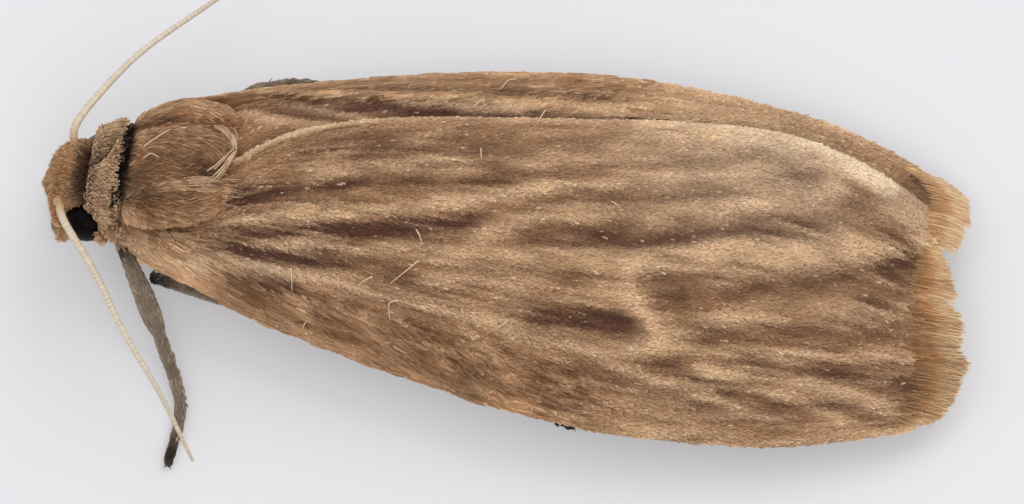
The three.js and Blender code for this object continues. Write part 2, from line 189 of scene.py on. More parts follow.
def forewing_right():
    return outline(hidden_edge, right_costa, (-4.35, 6.0), (-5.3, 6.1),
                   base=[(-4.6, 0.45), (-4.8, 0.85), (-5.05, 1.1)], tip=[(6.3, 1.2), (6.35, 1.6)])


def hindwing(front, back, inner, outer):
    inner, outer = profile(inner), profile(outer)
    middle = (back + 0.15, float(inner(back) + outer(back)) / 2)
    return outline(inner, outer, (front, back), (front, back), base=[], tip=[middle])


def coons(edges, s, v):
    """The patch filled in between four boundary curves."""
    inner, outer, base, tip = edges["inner"], edges["outer"], edges["base"], edges["tip"]
    s2, v2 = s[..., None], v[..., None]
    zero, one = np.zeros_like(s), np.ones_like(s)
    sides = inner(s) * (1 - v2) + outer(s) * v2 + base(v) * (1 - s2) + tip(v) * s2
    corners = (inner(zero) * (1 - s2) * (1 - v2) + outer(zero) * (1 - s2) * v2
               + inner(one) * s2 * (1 - v2) + outer(one) * s2 * v2)
    return sides - corners


# ---- Markings of the forewings ----
# Each streak: its half width, its strength, and the points it passes through, x and y. Where streaks
# overlap, the stronger one counts.
PALE_LEFT = [
    (0.14, 0.48, [(-3.1, 0.02), (-2.5, 0.2), (-1.8, 0.4), (-1.2, 0.52),
                 (-0.6, 0.62), (0, 0.75), (0.6, 0.9), (1.2, 1.08), (1.7, 1.3), (2.3, 1.5)]),
    (0.12, 0.8, [(-4.7, -0.8), (-4.2, -0.74), (-3.5, -0.65), (-2.8, -0.55), (-2.2, -0.4), (-1.6, -0.22),
                 (-1.1, -0.08), (-0.6, 0.03), (-0.2, 0.22), (0.3, 0.36), (0.8, 0.5)]),
    (0.11, 0.55, [(0.8, 0.5), (1.4, 0.66), (2.0, 0.85), (2.5, 1.0), (3.1, 1.2), (3.6, 1.35),
                 (4.1, 1.6), (4.5, 1.85)]),
    (0.07, 0.5, [(-3.8, -1.01), (-2.6, -0.97), (-2.1, -0.93), (-1.5, -0.86), (-0.9, -0.8)]),
    (0.13, 0.5, [(-0.75, -0.8), (-0.6, -0.68), (-0.4, -0.42), (0, -0.22), (0.4, -0.02), (0.9, 0.1),
                 (1.5, 0.2), (2.1, 0.3), (2.6, 0.45)]),
    (0.15, 0.7, [(2.6, 0.45), (3.0, 0.55), (3.4, 0.68), (3.8, 0.85), (4.3, 1.08), (4.7, 1.3)]),
    (0.15, 0.7, [(-0.9, -0.82), (-0.2, -0.8), (0.3, -0.74), (0.7, -0.66), (1.3, -0.58), (1.9, -0.48)]),
    (0.2, 0.9, [(1.9, -0.48), (2.5, -0.33), (3.0, -0.15), (3.5, -0.06), (4.0, 0.0), (4.6, 0.2),
                 (5.1, 0.38), (5.7, 0.52), (6.2, 0.75)]),
    (0.14, 0.85, [(1.75, -0.5), (1.8, -0.85), (1.95, -1.15), (2.2, -1.36), (2.4, -1.56)]),
    (0.16, 0.35, [(-1.1, -1.25), (-0.6, -1.15), (0, -1.22), (0.5, -1.2), (1.0, -1.1), (1.9, -1.0)]),
    (0.1, 0.75, [(-5.1, -1.13), (-4.3, -1.28), (-3.5, -1.35), (-2.8, -1.4), (-2.0, -1.45), (-1.3, -1.5),
                  (-0.6, -1.6), (0, -1.72)]),
    (0.14, 0.7, [(0, -1.72), (0.6, -1.8), (1.2, -1.82), (1.9, -1.78), (2.4, -1.65), (2.9, -1.68),
                 (3.2, -1.88), (3.8, -1.87), (4.5, -1.8), (5.2, -1.8), (5.9, -1.9)]),
    (0.13, 0.6, [(2.5, -1.5), (2.9, -1.3), (3.3, -1.12), (3.8, -0.98), (4.2, -0.84), (4.8, -0.72),
                 (5.4, -0.6), (5.9, -0.45)]),
    (0.1, 0.5, [(3.0, -1.6), (3.5, -1.55), (4.2, -1.42), (4.8, -1.35), (5.3, -1.3), (5.8, -1.2),
                 (6.3, -1.12)]),
    (0.06, 0.6, [(1.2, -1.88), (1.9, -2.02), (2.4, -2.15), (2.9, -2.2), (3.4, -2.25), (4, -2.35),
                 (4.5, -2.42)]),
    (0.07, 0.5, [(3.3, -1.92), (3.8, -2.0), (4.3, -2.05), (4.8, -2.12), (5.2, -2.2)]),
    (0.08, 0.35, [(-4.3, -1.35), (-3.5, -1.52), (-2.8, -1.68), (-2, -1.82), (-1, -2.0), (0, -2.1)]),
    (0.25, 0.75, [(1.7, 1.82), (2.5, 1.88), (3.2, 1.85), (3.8, 2.02), (4.3, 1.88)]),
    (0.18, 0.6, [(4.4, 1.75), (4.9, 1.75), (5.4, 1.62)]),
    (0.29, 0.35, [(5.3, 1.3), (5.7, 1.1), (6.1, 0.85)]),
    (0.05, 0.5, [(-4.3, -1.5), (-3.9, -1.68), (-3.5, -1.9)]),
    (0.05, 0.5, [(-3.4, -1.5), (-3.0, -1.75), (-2.6, -2.02)]),
    (0.05, 0.45, [(-2.5, -1.6), (-2.1, -1.82), (-1.6, -2.15)]),
    (0.05, 0.45, [(-1.6, -1.72), (-1.2, -1.95), (-0.7, -2.3)]),
    (0.05, 0.4, [(-0.6, -1.8), (-0.2, -2.0), (0.3, -2.35)]),
    (0.2, 0.8, [(3.5, 1.85), (4.1, 1.95), (4.7, 1.85)]),
    (0.13, 0.6, [(4.0, 1.1), (4.5, 1.15)]),
    (0.16, 0.5, [(3.7, 0.12), (4.2, 0.12), (4.8, 0.18)]),
    (0.2, 0.9, [(-5.9, -1.05), (-5.34, -1.18), (-4.89, -1.25), (-4.4, -1.36)]),
    (0.07, 0.95, [(-4.9, -1.2), (-4.4, -1.22), (-3.96, -1.27), (-3.41, -1.32), (-3.04, -1.36),
                  (-2.4, -1.42)]),
]
DARK_LEFT = [
    (0.17, 0.35, [(-3.2, 0.35), (-2.7, 0.42), (-2.2, 0.6), (-1.6, 0.72), (-1.0, 0.8), (-0.4, 0.95),
                  (0.3, 1.13), (1, 1.27), (1.9, 1.47)]),
    (0.14, 0.6, [(-3.9, -0.45), (-3.5, -0.33), (-2.9, -0.14), (-2.4, -0.02), (-1.8, 0.1), (-1.2, 0.22),
                 (-0.7, 0.33), (-0.3, 0.45), (0.4, 0.68), (1.2, 0.86)]),
    (0.11, 0.75, [(-4.5, -0.95), (-3.8, -0.88), (-3.2, -0.84), (-2.6, -0.78), (-2.0, -0.68)]),
    (0.17, 0.95, [(-2.0, -0.68), (-1.5, -0.6), (-1.1, -0.47), (-0.7, -0.33), (-0.4, -0.2)]),
    (0.13, 0.95, [(-4.5, -1.13), (-3.6, -1.15), (-3.0, -1.18), (-2.5, -1.17), (-2.0, -1.15)]),
    (0.14, 0.5, [(-2.0, -1.2), (-1.2, -1.32), (-0.7, -1.4)]),
    (0.25, 0.9, [(0.2, -0.42), (0.8, -0.33), (1.3, -0.22), (1.8, -0.2), (2.2, -0.1), (2.7, 0.03),
                 (3.1, 0.2), (3.6, 0.32), (4.2, 0.52), (4.7, 0.7), (5.1, 0.95)]),
    (0.16, 0.5, [(0.2, 0.12), (0.8, 0.28), (1.5, 0.42), (2.1, 0.55), (2.6, 0.72), (3.1, 0.85),
                 (3.6, 1.05)]),
    (0.18, 1.0, [(0.1, -1.42), (0.5, -1.46), (1.0, -1.5), (1.5, -1.42), (2.0, -1.5), (2.25, -1.48)]),
    (0.11, 0.4, [(-0.9, -0.98), (0, -0.98), (0.8, -0.88), (1.6, -0.82)]),
    (0.3, 0.8, [(2.2, -0.86), (2.42, -0.85), (2.8, -0.76)]),
    (0.18, 0.6, [(3.0, -0.72), (3.5, -0.62), (4.0, -0.45), (4.6, -0.25), (5.2, -0.05)]),
    (0.25, 0.85, [(5.2, -0.05), (5.7, 0.15), (6.1, 0.28)]),
    (0.15, 0.65, [(2.0, 1.18), (2.5, 1.33), (2.9, 1.48), (3.4, 1.62), (3.8, 1.78)]),
    (0.14, 0.7, [(3.7, 1.38), (4.2, 1.45), (4.6, 1.6)]),
    (0.23, 0.6, [(4.6, 1.05), (5.1, 1.15), (5.3, 1.2)]),
    (0.1, 0.75, [(2.1, -1.9), (2.6, -1.95), (3.0, -1.99), (3.4, -2.08), (3.8, -2.18)]),
    (0.14, 0.6, [(2.75, -1.42), (3.1, -1.36), (3.6, -1.27), (4.2, -1.15), (4.8, -1.05), (5.4, -0.95)]),
    (0.14, 0.7, [(3.3, -1.72), (4.2, -1.62), (4.8, -1.58), (5.4, -1.56), (5.9, -1.5)]),
    (0.3, 0.5, [(5.9, -1.5), (6.3, -1.65)]),
    (0.11, 0.7, [(3.8, -2.12), (4.5, -2.2), (5.0, -2.02), (5.6, -2.03), (6.1, -2.0)]),
    (0.21, 0.35, [(5.2, -0.85), (5.8, -0.75), (6.2, -0.7)]),
    (0.5, 0.5, [(5.0, -0.4), (5.6, -0.4), (6.2, -0.4)]),
    (0.22, 0.9, [(5.5, 0.15), (5.8, 0.25), (6.1, 0.35)]),
    (0.16, 1.1, [(-3.9, -0.93), (-3.35, -0.87), (-2.8, -0.8), (-2.2, -0.69), (-1.63, -0.57),
                 (-1.0, -0.45)]),
    (0.16, 1.2, [(-4.4, -1.11), (-3.9, -1.13), (-3.3, -1.14), (-2.84, -1.14), (-2.3, -1.14)]),
    (0.09, 0.8, [(-4.18, -1.37), (-3.79, -1.42), (-3.4, -1.46), (-3.06, -1.51)]),
    (0.1, 0.6, [(-3.1, 0.38), (-2.86, 0.42), (-2.69, 0.49), (-2.3, 0.6)]),
    (0.17, 1.1, [(-4.7, -0.56), (-4.4, -0.52), (-4.15, -0.48), (-3.75, -0.38), (-3.34, -0.27),
                 (-2.98, -0.16), (-2.4, 0.0), (-1.7, 0.15)]),
    (0.36, 0.55, [(-3.7, 0.3), (-2.9, 0.5), (-2.3, 0.6), (-1.7, 0.68), (-0.8, 0.82), (0.3, 1.12)]),
    (0.3, 0.45, [(2.93, -0.48), (3.7, -0.46), (4.43, -0.3), (5.16, -0.06), (5.78, 0.19)]),
    (0.26, 0.5, [(4.6, -1.12), (5.5, -0.84), (6.0, -0.67), (6.36, -0.6)]),
    (0.2, 0.5, [(4.3, -1.64), (4.91, -1.58), (5.51, -1.51), (6.11, -1.45), (6.47, -1.41)]),
    (0.17, 1.2, [(4.7, -0.15), (5.1, -0.02), (5.43, 0.15), (5.78, 0.32), (6.1, 0.4)]),
    (0.12, 0.9, [(5.2, -1.58), (5.6, -1.56), (5.9, -1.5), (6.3, -1.45)]),
    (0.34, 0.6, [(4.96, 0.82), (5.35, 0.72), (5.7, 0.5), (5.85, 0.15)]),
    (0.2, 0.8, [(-3.55, -1.06), (-3.1, -1.04), (-2.7, -0.98)]),
    (0.1, 0.7, [(-3.7, -0.52), (-3.2, -0.45), (-2.75, -0.38)]),
    (0.24, 0.55, [(2.5, -0.62), (2.85, -0.55), (3.3, -0.5)]),
    (0.13, 0.55, [(1.1, -2.1), (2.0, -2.2), (2.9, -2.3), (3.6, -2.35), (4.5, -2.3)]),
]
PALE_RIGHT = [
    (0.09, 0.75, [(-4.3, 1.5), (-3.3, 1.52), (-2.5, 1.62), (-1.8, 1.68), (-1, 1.78), (0, 1.86),
                  (0.8, 1.93), (1.7, 2.12)]),
    (0.06, 0.5, [(-4.2, 1.27), (-3.5, 1.22), (-2.8, 1.16), (-2.3, 1.14)]),
    (0.08, 0.6, [(-4.4, 0.95), (-3.9, 0.9), (-3.2, 0.9), (-2.7, 0.95)]),
    (0.16, 0.35, [(1.5, 2.22), (2.5, 2.28), (3.5, 2.3), (4.3, 2.2)]),
    (0.11, 0.3, [(-3.4, 1.75), (-2, 1.9), (-0.5, 2.1), (1, 2.3)]),
    (0.08, 0.9, [(-1.92, 1.53), (-1.32, 1.6), (-0.72, 1.66), (-0.12, 1.73)]),
    (0.07, 0.8, [(1.08, 1.88), (1.67, 1.97), (2.57, 2.1), (2.87, 2.13)]),
]
# The first three streaks lie just beyond the left wing's margin: partly dark markings, partly painted
# shadow cast by that margin.
DARK_AND_SHADOW_RIGHT = [
    (0.13, 1.1, [(-4.0, 1.1), (-3.5, 1.16), (-3.11, 1.2), (-2.5, 1.32), (-1.9, 1.39), (-1.03, 1.5),
                 (-0.1, 1.62), (0.5, 1.7), (1.1, 1.78)]),
    (0.13, 1.0, [(-4.5, 1.37), (-3, 1.38), (-2, 1.44), (-1.3, 1.56), (-0.6, 1.65), (0.2, 1.72)]),
    (0.08, 0.9, [(0.2, 1.74), (1, 1.78), (2, 1.98), (3, 2.12)]),
    (0.07, 1.0, [(-4.2, 1.1), (-3.4, 1.06), (-2.9, 1.03), (-2.5, 1.02)]),
    (0.09, 0.5, [(-3.6, 1.62), (-2.4, 1.76), (-1, 1.95), (0.5, 2.1), (2, 2.3)]),
    (0.26, 0.6, [(5.6, 1.8), (5.82, 1.71), (6.07, 1.55), (6.3, 1.32)]),
]
# Painted sheen on the left wing: at its shoulder, and along the upper margin on the way to the tip.
PAINTED_SHEEN_LEFT = [
    (0.15, 0.7, [(-5.8, -1.05), (-5.3, -1.13), (-4.9, -1.2), (-4.6, -1.25)]),
    (0.08, 0.25, [(-4.4, -1.24), (-3.9, -1.28), (-3.4, -1.32)]),
    (0.28, 0.55, [(3.0, 2.0), (3.5, 1.94), (4.0, 1.84)]),
    (0.15, 0.85, [(4.15, 2.03), (4.45, 1.95), (4.75, 1.86)]),
    (0.19, 0.95, [(4.85, 1.76), (5.15, 1.66), (5.5, 1.54)]),
    (0.25, 0.3, [(5.5, 1.4), (5.8, 1.25), (6.05, 1.05), (6.3, 0.8)]),
]


def streak_strength(xy, streaks, fade=0.0):
    """How strongly each point is marked, from its distance to the streaks: 0 to about 1.

    fade is how much weaker a streak grows towards its two ends."""
    total = np.zeros(len(xy))
    for half_width, strength, points in streaks:
        path = spline(points, np.linspace(0, 1, 6 * len(points)))
        nearest, place_along = np.full(len(xy), 1e9), np.zeros(len(xy))
        for i, (a, b) in enumerate(zip(path[:-1], path[1:])):
            t = part_way(xy, a, b)
            gap = ((xy - a - t[:, None] * (b - a)) ** 2).sum(-1)
            place_along = np.where(gap < nearest, (i + t) / (len(path) - 1), place_along)
            nearest = np.minimum(nearest, gap)
        full = smoothstep(np.minimum(place_along, 1 - place_along), 0.0, 0.22)
        total = np.maximum(total, strength * (1 - fade + fade * full) * np.exp(-nearest / half_width**2))
    return total


# x of each wing's end edge; the left one's runs with y.
RIGHT_TERMEN_X = 6.3
TERMEN_X = profile([(-2.25, 6.2), (-1.8, 6.42), (-1.35, 6.42), (-0.85, 6.28), (-0.2, 6.2), (0.5, 6.27),
                    (1.2, 6.3)])
# How strong the painted highlight on the left wing's margin is, along the margin.
MARGIN_HIGHLIGHT_STRENGTH = profile([(-4.1, 1.0), (-2.5, 0.85), (-1, 0.55), (1.5, 0.6), (2.5, 0.9), (4, 0.8), (6, 0.3)])


def left_only_marks(x, y, pale, dark):
    """Marks at the left forewing's edges: a painted highlight along the margin, and a dark line at the end.
    """
    # rim: a painted highlight along the margin's raised edge
    rim = np.exp(-((MARGIN_Y(x) - y - 0.03) / 0.05) ** 2) * MARGIN_HIGHLIGHT_STRENGTH(x)
    end_line = 0.7 * np.exp(-((x - TERMEN_X(y) + 0.06) / 0.09) ** 2)
    return np.maximum(pale, rim), np.maximum(dark, end_line)


def forewing_marks(points, streamline, side):
    """Pale, dark, fringe and gloss over a forewing, each 0 to 1, gloss being painted sheen; streamline runs
    along and across it.
    """
    left = side == "left"
    xy = points[:, :2]
    x, y = xy.T
    out = across(x, y)
    wobble = np.stack([noise(points, 1.6, 3), noise(points, 1.3, 4)], -1) * 0.02
    wobble += np.stack([noise(points, 0.3, 5), noise(points, 0.24, 6)], -1) * 0.01
    pale = streak_strength(xy + wobble, PALE_LEFT if left else PALE_RIGHT)
    dark = streak_strength(xy + wobble, DARK_LEFT if left else DARK_AND_SHADOW_RIGHT, fade=0.6)
    combed = noise(streamline * [0.09, 1, 1], 0.085, 7) * (1.0 if left else 0.4)
    mottle = noise(streamline * [0.35, 1, 1], 0.3, 8)
    if left:
        pale, dark = left_only_marks(x, y, pale, dark)
    # painted light: each wing's outer edge is lighter, where light wraps round it
    pale = np.maximum(pale, 0.5 * smoothstep(out, 0.9, 1.0))
    fringe = smoothstep(x - (TERMEN_X(y) if left else RIGHT_TERMEN_X), -0.3, 0.05) * (0.6 + 0.25 * mottle)
    # gloss is painted sheen: broad over the wing's upper rear and strong along the streaks above; the right
    # wing gets a fifth of it
    sheen = 0.28 * smoothstep(x, 0.0, 3.5) * smoothstep(y, -1, 1.5) * (1 - smoothstep(x, 4.5, 5.2))
    gloss = np.maximum(streak_strength(xy + wobble, PAINTED_SHEEN_LEFT), sheen) * (1.0 if left else 0.2)
    # the left wing's shoulder is paler, partly its own pale tone and partly painted light in the hollow
    # beside the thorax; the right wing grows paler towards the rear, partly its own tone and partly painted
    # light on its shaded face
    if left:
        base_pale_and_painted_light = 0.06 + 0.6 * (1 - smoothstep(x, -5.0, -4.4)) * smoothstep(-y, 0.85, 1.05)
    else:
        base_pale_and_painted_light = 0.02 + 0.16 * smoothstep(x, -2.5, 0.5)
    # both front edges, short of the tip, are paler: partly their own tone, partly painted light on that
    # steep face
    base_pale_and_painted_light = base_pale_and_painted_light + 0.22 * smoothstep(out, 0.68, 0.95) * (1 - smoothstep(x, 2.0, 4.5))
    pale = np.clip(pale * (1.0 + 0.25 * mottle) + 0.2 * combed + 0.08 * mottle + base_pale_and_painted_light, 0, 1)
    dark = dark * (1.0 - 0.2 * mottle) * (1 - 0.7 * pale) - 0.14 * combed + 0.03
    # painted sheen clears most of the dark marks beneath it
    dark = np.clip(dark, 0, 1) * (1 - 0.8 * gloss)
    return {"pale": pale, "dark": dark, "fringe": fringe, "gloss": gloss}


def wing_relief(marks):
    """Veins stand a little proud, and the membrane between them sinks."""
    return 0.03 * marks["pale"] - 0.035 * marks["dark"]


# ---- Colours, linear ----

# Each gloss colour is that of painted sheen; the dark of head, collar and thorax also serves for painted
# shade.
PALETTE = {
    "wing": {"ground": (0.38, 0.195, 0.094), "pale": (0.81, 0.545, 0.33), "dark": (0.115, 0.046, 0.026),
             "fringe": (0.80, 0.53, 0.285), "gloss": (1.0, 0.82, 0.60)},
    "underside": {"ground": (0.30, 0.21, 0.14), "pale": (0.40, 0.29, 0.20), "dark": (0.20, 0.13, 0.09),
                  "fringe": (0.46, 0.28, 0.15), "gloss": (0.4, 0.3, 0.2)},
    "hindwing": {"ground": (0.42, 0.35, 0.27), "pale": (0.50, 0.43, 0.34), "dark": (0.30, 0.24, 0.18),
                 "fringe": (0.50, 0.42, 0.32), "gloss": (0.5, 0.43, 0.34)},
    "thorax": {"ground": (0.395, 0.192, 0.092), "pale": (0.72, 0.465, 0.27), "dark": (0.04, 0.018, 0.01)},
    "collar": {"ground": (0.38, 0.21, 0.118), "pale": (0.62, 0.38, 0.23), "dark": (0.012, 0.006, 0.005)},
    "head": {"ground": (0.56, 0.30, 0.14), "pale": (0.77, 0.43, 0.21), "dark": (0.11, 0.047, 0.025)},
    "belly": {"ground": (0.34, 0.255, 0.17), "pale": (0.44, 0.34, 0.23), "dark": (0.20, 0.14, 0.09)},
    "leg": {"ground": (0.27, 0.205, 0.15), "pale": (0.40, 0.32, 0.24), "dark": (0.02, 0.014, 0.011)},
    "palp": {"ground": (0.30, 0.26, 0.17), "pale": (0.40, 0.34, 0.22), "dark": (0.12, 0.10, 0.06)},
    "loose": {"cream": (0.95, 0.70, 0.48), "tan": (0.72, 0.46, 0.27)},
}


def tint(region, marks):
    """The ground colour of a region, with its markings and painted sheen and shade laid over it one after
    another.
    """
    colours = PALETTE[region]
    some = next(iter(marks.values()))
    colour = np.tile(np.array(colours["ground"]), (len(some), 1))
    for mark in ("pale", "gloss", "dark", "fringe"):
        if mark in marks and mark in colours:
            amount = np.clip(marks[mark], 0, 1)[:, None]
            colour = colour * (1 - amount) + np.array(colours[mark]) * amount
    return colour


# ---- From points and faces to finished pieces ----

def joined(shells):
    """All the points and faces of several shells, each given as its points and its faces."""
    faces, start = [], 0
    for points, its_faces in shells:
        faces += [tuple(i + start for i in face) for face in its_faces]
        start += len(points)
    return np.concatenate([points for points, _ in shells]), faces


def grid_faces(columns, rows):
    """Quads over a grid of points listed column by column, facing up where rows run to -Y."""
    faces = []
    for c in range(columns - 1):
        for r in range(rows - 1):
            a = c * rows + r
            faces.append((a, a + 1, a + rows + 1, a + rows))
    return faces


def mesh_object(name, points, faces, attributes=None):
    """An object in the scene; attributes are arrays by point, of numbers or of threes."""
    mesh = bpy.data.meshes.new(name)
    mesh.from_pydata(np.asarray(points, float).tolist(), [], faces)
    for key, values in (attributes or {}).items():
        kind = "FLOAT_VECTOR" if np.ndim(values) == 2 else "FLOAT"
        layer = mesh.attributes.new(key, kind, "POINT")
        layer.data.foreach_set("vector" if kind == "FLOAT_VECTOR" else "value",
                               np.asarray(values, np.float32).ravel())
    made = bpy.data.objects.new(name, mesh)
    bpy.context.scene.collection.objects.link(made)
    return made


def piece(name, points, faces, finish, attributes=None, smooth=True):
    """An object of its own with its material on it."""
    made = mesh_object(name, points, faces, attributes)
    made.data.materials.append(finish)
    made.data.polygons.foreach_set("use_smooth", [smooth] * len(faces))
    return made


def place(made, slot, *replaced):
    """Moves a finished mesh from millimetres into the row frame, and hides the model's parts that it stands
    for; slot is not used.
    """
    made.data.transform(Matrix.Translation(SHIFT * MM) @ Matrix.Scale(MM, 4))
    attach(made, "root")
    if replaced:
        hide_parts(*replaced)
    return made


def combed_lie(grid, streamline, side):
    """Scales lie from base to tip; near the base and the front edge they lean out towards that edge."""
    lie = unit(np.gradient(grid, axis=0)).reshape(-1, 3)
    x, y = grid.reshape(-1, 3)[:, :2].T
    outward = np.cross([0, 0, 1.0], lie) * (-1 if side == "left" else 1)
    out = across(x, y)
    edge = smoothstep(out, 0.55, 0.85) * (1 - 0.8 * smoothstep(out, 0.9, 1.0))
    edge = edge * (1 - smoothstep(x, -2.5, 4.5))
    sway = 0.12 * noise(streamline, 0.7, 9) + 0.45 * edge
    return unit(lie + outward * sway[:, None])


def wing_sheet(edges, columns, rows, drop, side, marks_of, region):
    """The top surface of a wing as a grid, with the way its scales lie and its place on the unwrap."""
    s, v = np.meshgrid(np.linspace(0, 1, columns), np.linspace(0, 1, rows), indexing="ij")
    order = v if side == "left" else 1 - v
    xy = coons(edges, s, order).reshape(-1, 2)
    x, y = xy.T
    flat = np.stack([x, y, roof_height(x, y) - drop(x, y) - WING_SCALE_DEPTH], -1)
    streamline = np.stack([s * 11, v * 4.4, 0 * s], -1).reshape(-1, 3)
    marks = marks_of(flat, streamline)
    flat[:, 2] += wing_relief(marks)
    grid = flat.reshape(columns, rows, 3)
    return {
        "points": flat,
        "faces": grid_faces(columns, rows),
        "lie": combed_lie(grid, streamline, side),
        "patch": np.stack([0.02 + 0.96 * s, 0.02 + 0.96 * v, 0 * s], -1).reshape(-1, 3),
        "tint": tint(region, marks),
        "marks": marks,
        "columns": columns,
        "rows": rows,
    }


def underside_tint(sheet):
    """A wing's own marks, with their painted light and shade, at half strength, in the duller colours of
    its lower face.
    """
    return tint("underside", {name: values * 0.5 for name, values in sheet["marks"].items()})


def membrane(sheet):
    """A closed thin shell: the sheet's top, the same below it, and walls round the edge."""
    columns, rows, count = sheet["columns"], sheet["rows"], len(sheet["points"])
    low = sheet["points"] - [0, 0, MEMBRANE]
    faces = list(sheet["faces"])
    faces += [tuple(i + count for i in reversed(face)) for face in sheet["faces"]]
    rim = ([c * rows for c in range(columns)]
           + [(columns - 1) * rows + r for r in range(1, rows)]
           + [c * rows + rows - 1 for c in range(columns - 2, -1, -1)]
           + [r for r in range(rows - 2, 0, -1)])
    for a, b in zip(rim, rim[1:] + rim[:1]):
        faces.append((a, b, b + count, a + count))
    return {"points": np.concatenate([sheet["points"], low]), "faces": faces,
            "tint": np.concatenate([sheet["tint"], underside_tint(sheet)])}


def underside(sheet):
    """The lower face of a wing as a bed for scales."""
    return {**sheet, "points": sheet["points"] - [0, 0, MEMBRANE], "tint": underside_tint(sheet),
            "faces": [tuple(reversed(face)) for face in sheet["faces"]]}


# ---- Body, legs and palps ----

# Head and thorax, then abdomen, by x: half the width, the top and the bottom.
FRONT_HALF = profile([(-7.1, 0.62), (-6.6, 0.7), (-6.25, 0.62), (-5.9, 0.7), (-5.2, 0.86), (-4.5, 0.82),
                      (-4.1, 0.68)])
FRONT_TOP = profile([(-7.1, 1.85), (-6.6, 2.06), (-6.25, 1.98), (-5.9, 2.2), (-5.2, 2.55), (-4.6, 2.52),
                     (-4.2, 2.36)])
FRONT_BOTTOM = profile([(-7.1, 0.9), (-6.6, 0.84), (-6.25, 0.9), (-5.9, 0.82), (-5.2, 0.66), (-4.2, 0.58)])
REAR_HALF = profile([(-4.1, 0.64), (-3, 0.62), (-1, 0.6), (1, 0.52), (2.6, 0.26)])
REAR_TOP = profile([(-4.1, 1.36), (-2, 1.34), (0, 1.28), (2.6, 0.95)])
REAR_BOTTOM = profile([(-4.1, 0.5), (-2, 0.42), (0, 0.44), (2.6, 0.52)])
FRONT = (FRONT_HALF, FRONT_TOP, FRONT_BOTTOM)
REAR = (REAR_HALF, REAR_TOP, REAR_BOTTOM)
REAR_AXIS = profile([(-4.3, 0.1), (-3, 0.25), (-1, 0.35), (2.6, 0.3)])
BODY_REGIONS = ("head", "collar", "thorax", "belly", "leg", "palp")
HEAD_CENTRE = np.array([-6.6, -0.27, 1.42])
HEAD_FRONT, ABDOMEN_BACK = -7.1, 2.6
UNWRAP_LENGTH = 9.8  # what the body's unwrap holds from the front of the head back
COLLAR_END, THORAX_END = -5.84, -4.15  # x where the regions change

# Each leg by its joints: on the body, at the trochanter, knee and ankle, along the foot and at its tip.
LEGS = {
    "fore_left": [(-5.72, -0.5, 0.9), (-5.4, -0.62, 0.42), (-5.78, -1.02, 1.12), (-5.08, -2.1, 0.42),
                  (-4.6, -3.1, 0.12), (-4.64, -4.02, 0.1)],
    "fore_right": [(-5.68, 0.18, 0.9), (-5.35, 0.32, 0.42), (-5.82, 0.9, 0.72), (-6.55, 0.62, 0.3),
                   (-6.93, 0.1, 0.12), (-6.74, -0.6, 0.1)],
    "mid_left": [(-5.0, -0.5, 0.72), (-4.72, -0.75, 0.36), (-5.24, -1.3, 0.46), (-3.98, -1.4, 0.26),
                 (-3.1, -1.6, 0.12), (-2.2, -1.82, 0.1)],
    "mid_right": [(-4.95, 0.42, 0.72), (-4.65, 0.7, 0.36), (-4.75, 1.2, 0.5), (-4.04, 1.96, 0.26),
                  (-3.49, 2.15, 0.13), (-2.5, 2.1, 0.1)],
    "hind_left": [(-4.2, -0.42, 0.66), (-3.9, -0.6, 0.34), (-3.2, -1.1, 0.6), (-0.9, -1.95, 0.26),
                  (0.2, -2.33, 0.12), (1.26, -2.61, 0.1)],
    "hind_right": [(-4.15, 0.55, 0.66), (-3.85, 0.78, 0.34), (-3.15, 1.32, 0.54), (-0.9, 2.18, 0.24),
                   (0.2, 2.35, 0.12), (1.28, 2.48, 0.1)],
}
LEG_PARTS = ("coxa", "femur", "tibia", "tarsus")
LEG_RADII = {
    "coxa": profile([(0, 0.19), (1, 0.15)]),
    "femur": profile([(0, 0.12), (0.4, 0.155), (1, 0.09)]),
    "tibia": profile([(0, 0.085), (0.35, 0.12), (0.8, 0.15), (1, 0.11)]),
    "tarsus": profile([(0, 0.1), (0.3, 0.092), (1, 0.07)]),
}
TARSOMERES = 5
PALPS = {
    "left": [(-6.7, -0.56, 0.98), (-6.76, -0.78, 0.8), (-6.68, -0.9, 0.7)],
    "right": [(-6.8, -0.02, 0.98), (-6.92, 0.14, 0.8), (-6.84, 0.28, 0.7)],
}


def axis_y(x):
    x = np.asarray(x, float)
    return np.where(x > THORAX_BACK[0], REAR_AXIS(x), THORAX_BACK[1] + TURN * (x - THORAX_BACK[0]))


def body_points(body, x, angle, off=0.0, end=1.0):
    """Points on a body's surface, turned by angle from the top towards +Y and set off outwards."""
    half, top, bottom = body
    middle, height = (top(x) + bottom(x)) / 2, (top(x) - bottom(x)) / 2
    return np.stack([x + 0 * angle, axis_y(x) + (half(x) * end + off) * np.sin(angle),
                     middle + (height * end + off) * np.cos(angle)], -1)


def loft(rings):
    """Vertices and faces of a body of rings, closed by a fan at each end."""
    count, sides = rings.shape[:2]
    faces = []
    for r in range(count - 1):
        for i in range(sides):
            a, b = r * sides + i, r * sides + (i + 1) % sides
            faces.append((a, b, b + sides, a + sides))
    front, back = count * sides, count * sides + 1
    for i in range(sides):
        j = (i + 1) % sides
        faces.append((j, i, front))
        faces.append(((count - 1) * sides + i, (count - 1) * sides + j, back))
    points = np.concatenate([rings.reshape(-1, 3), rings[0].mean(0)[None], rings[-1].mean(0)[None]])
    corners = np.array([face[:3] for face in faces])
    volume = np.einsum("ij,ij->i", points[corners[:, 0]],
                       np.cross(points[corners[:, 1]], points[corners[:, 2]])).sum()
    return points, faces if volume > 0 else [tuple(reversed(face)) for face in faces]


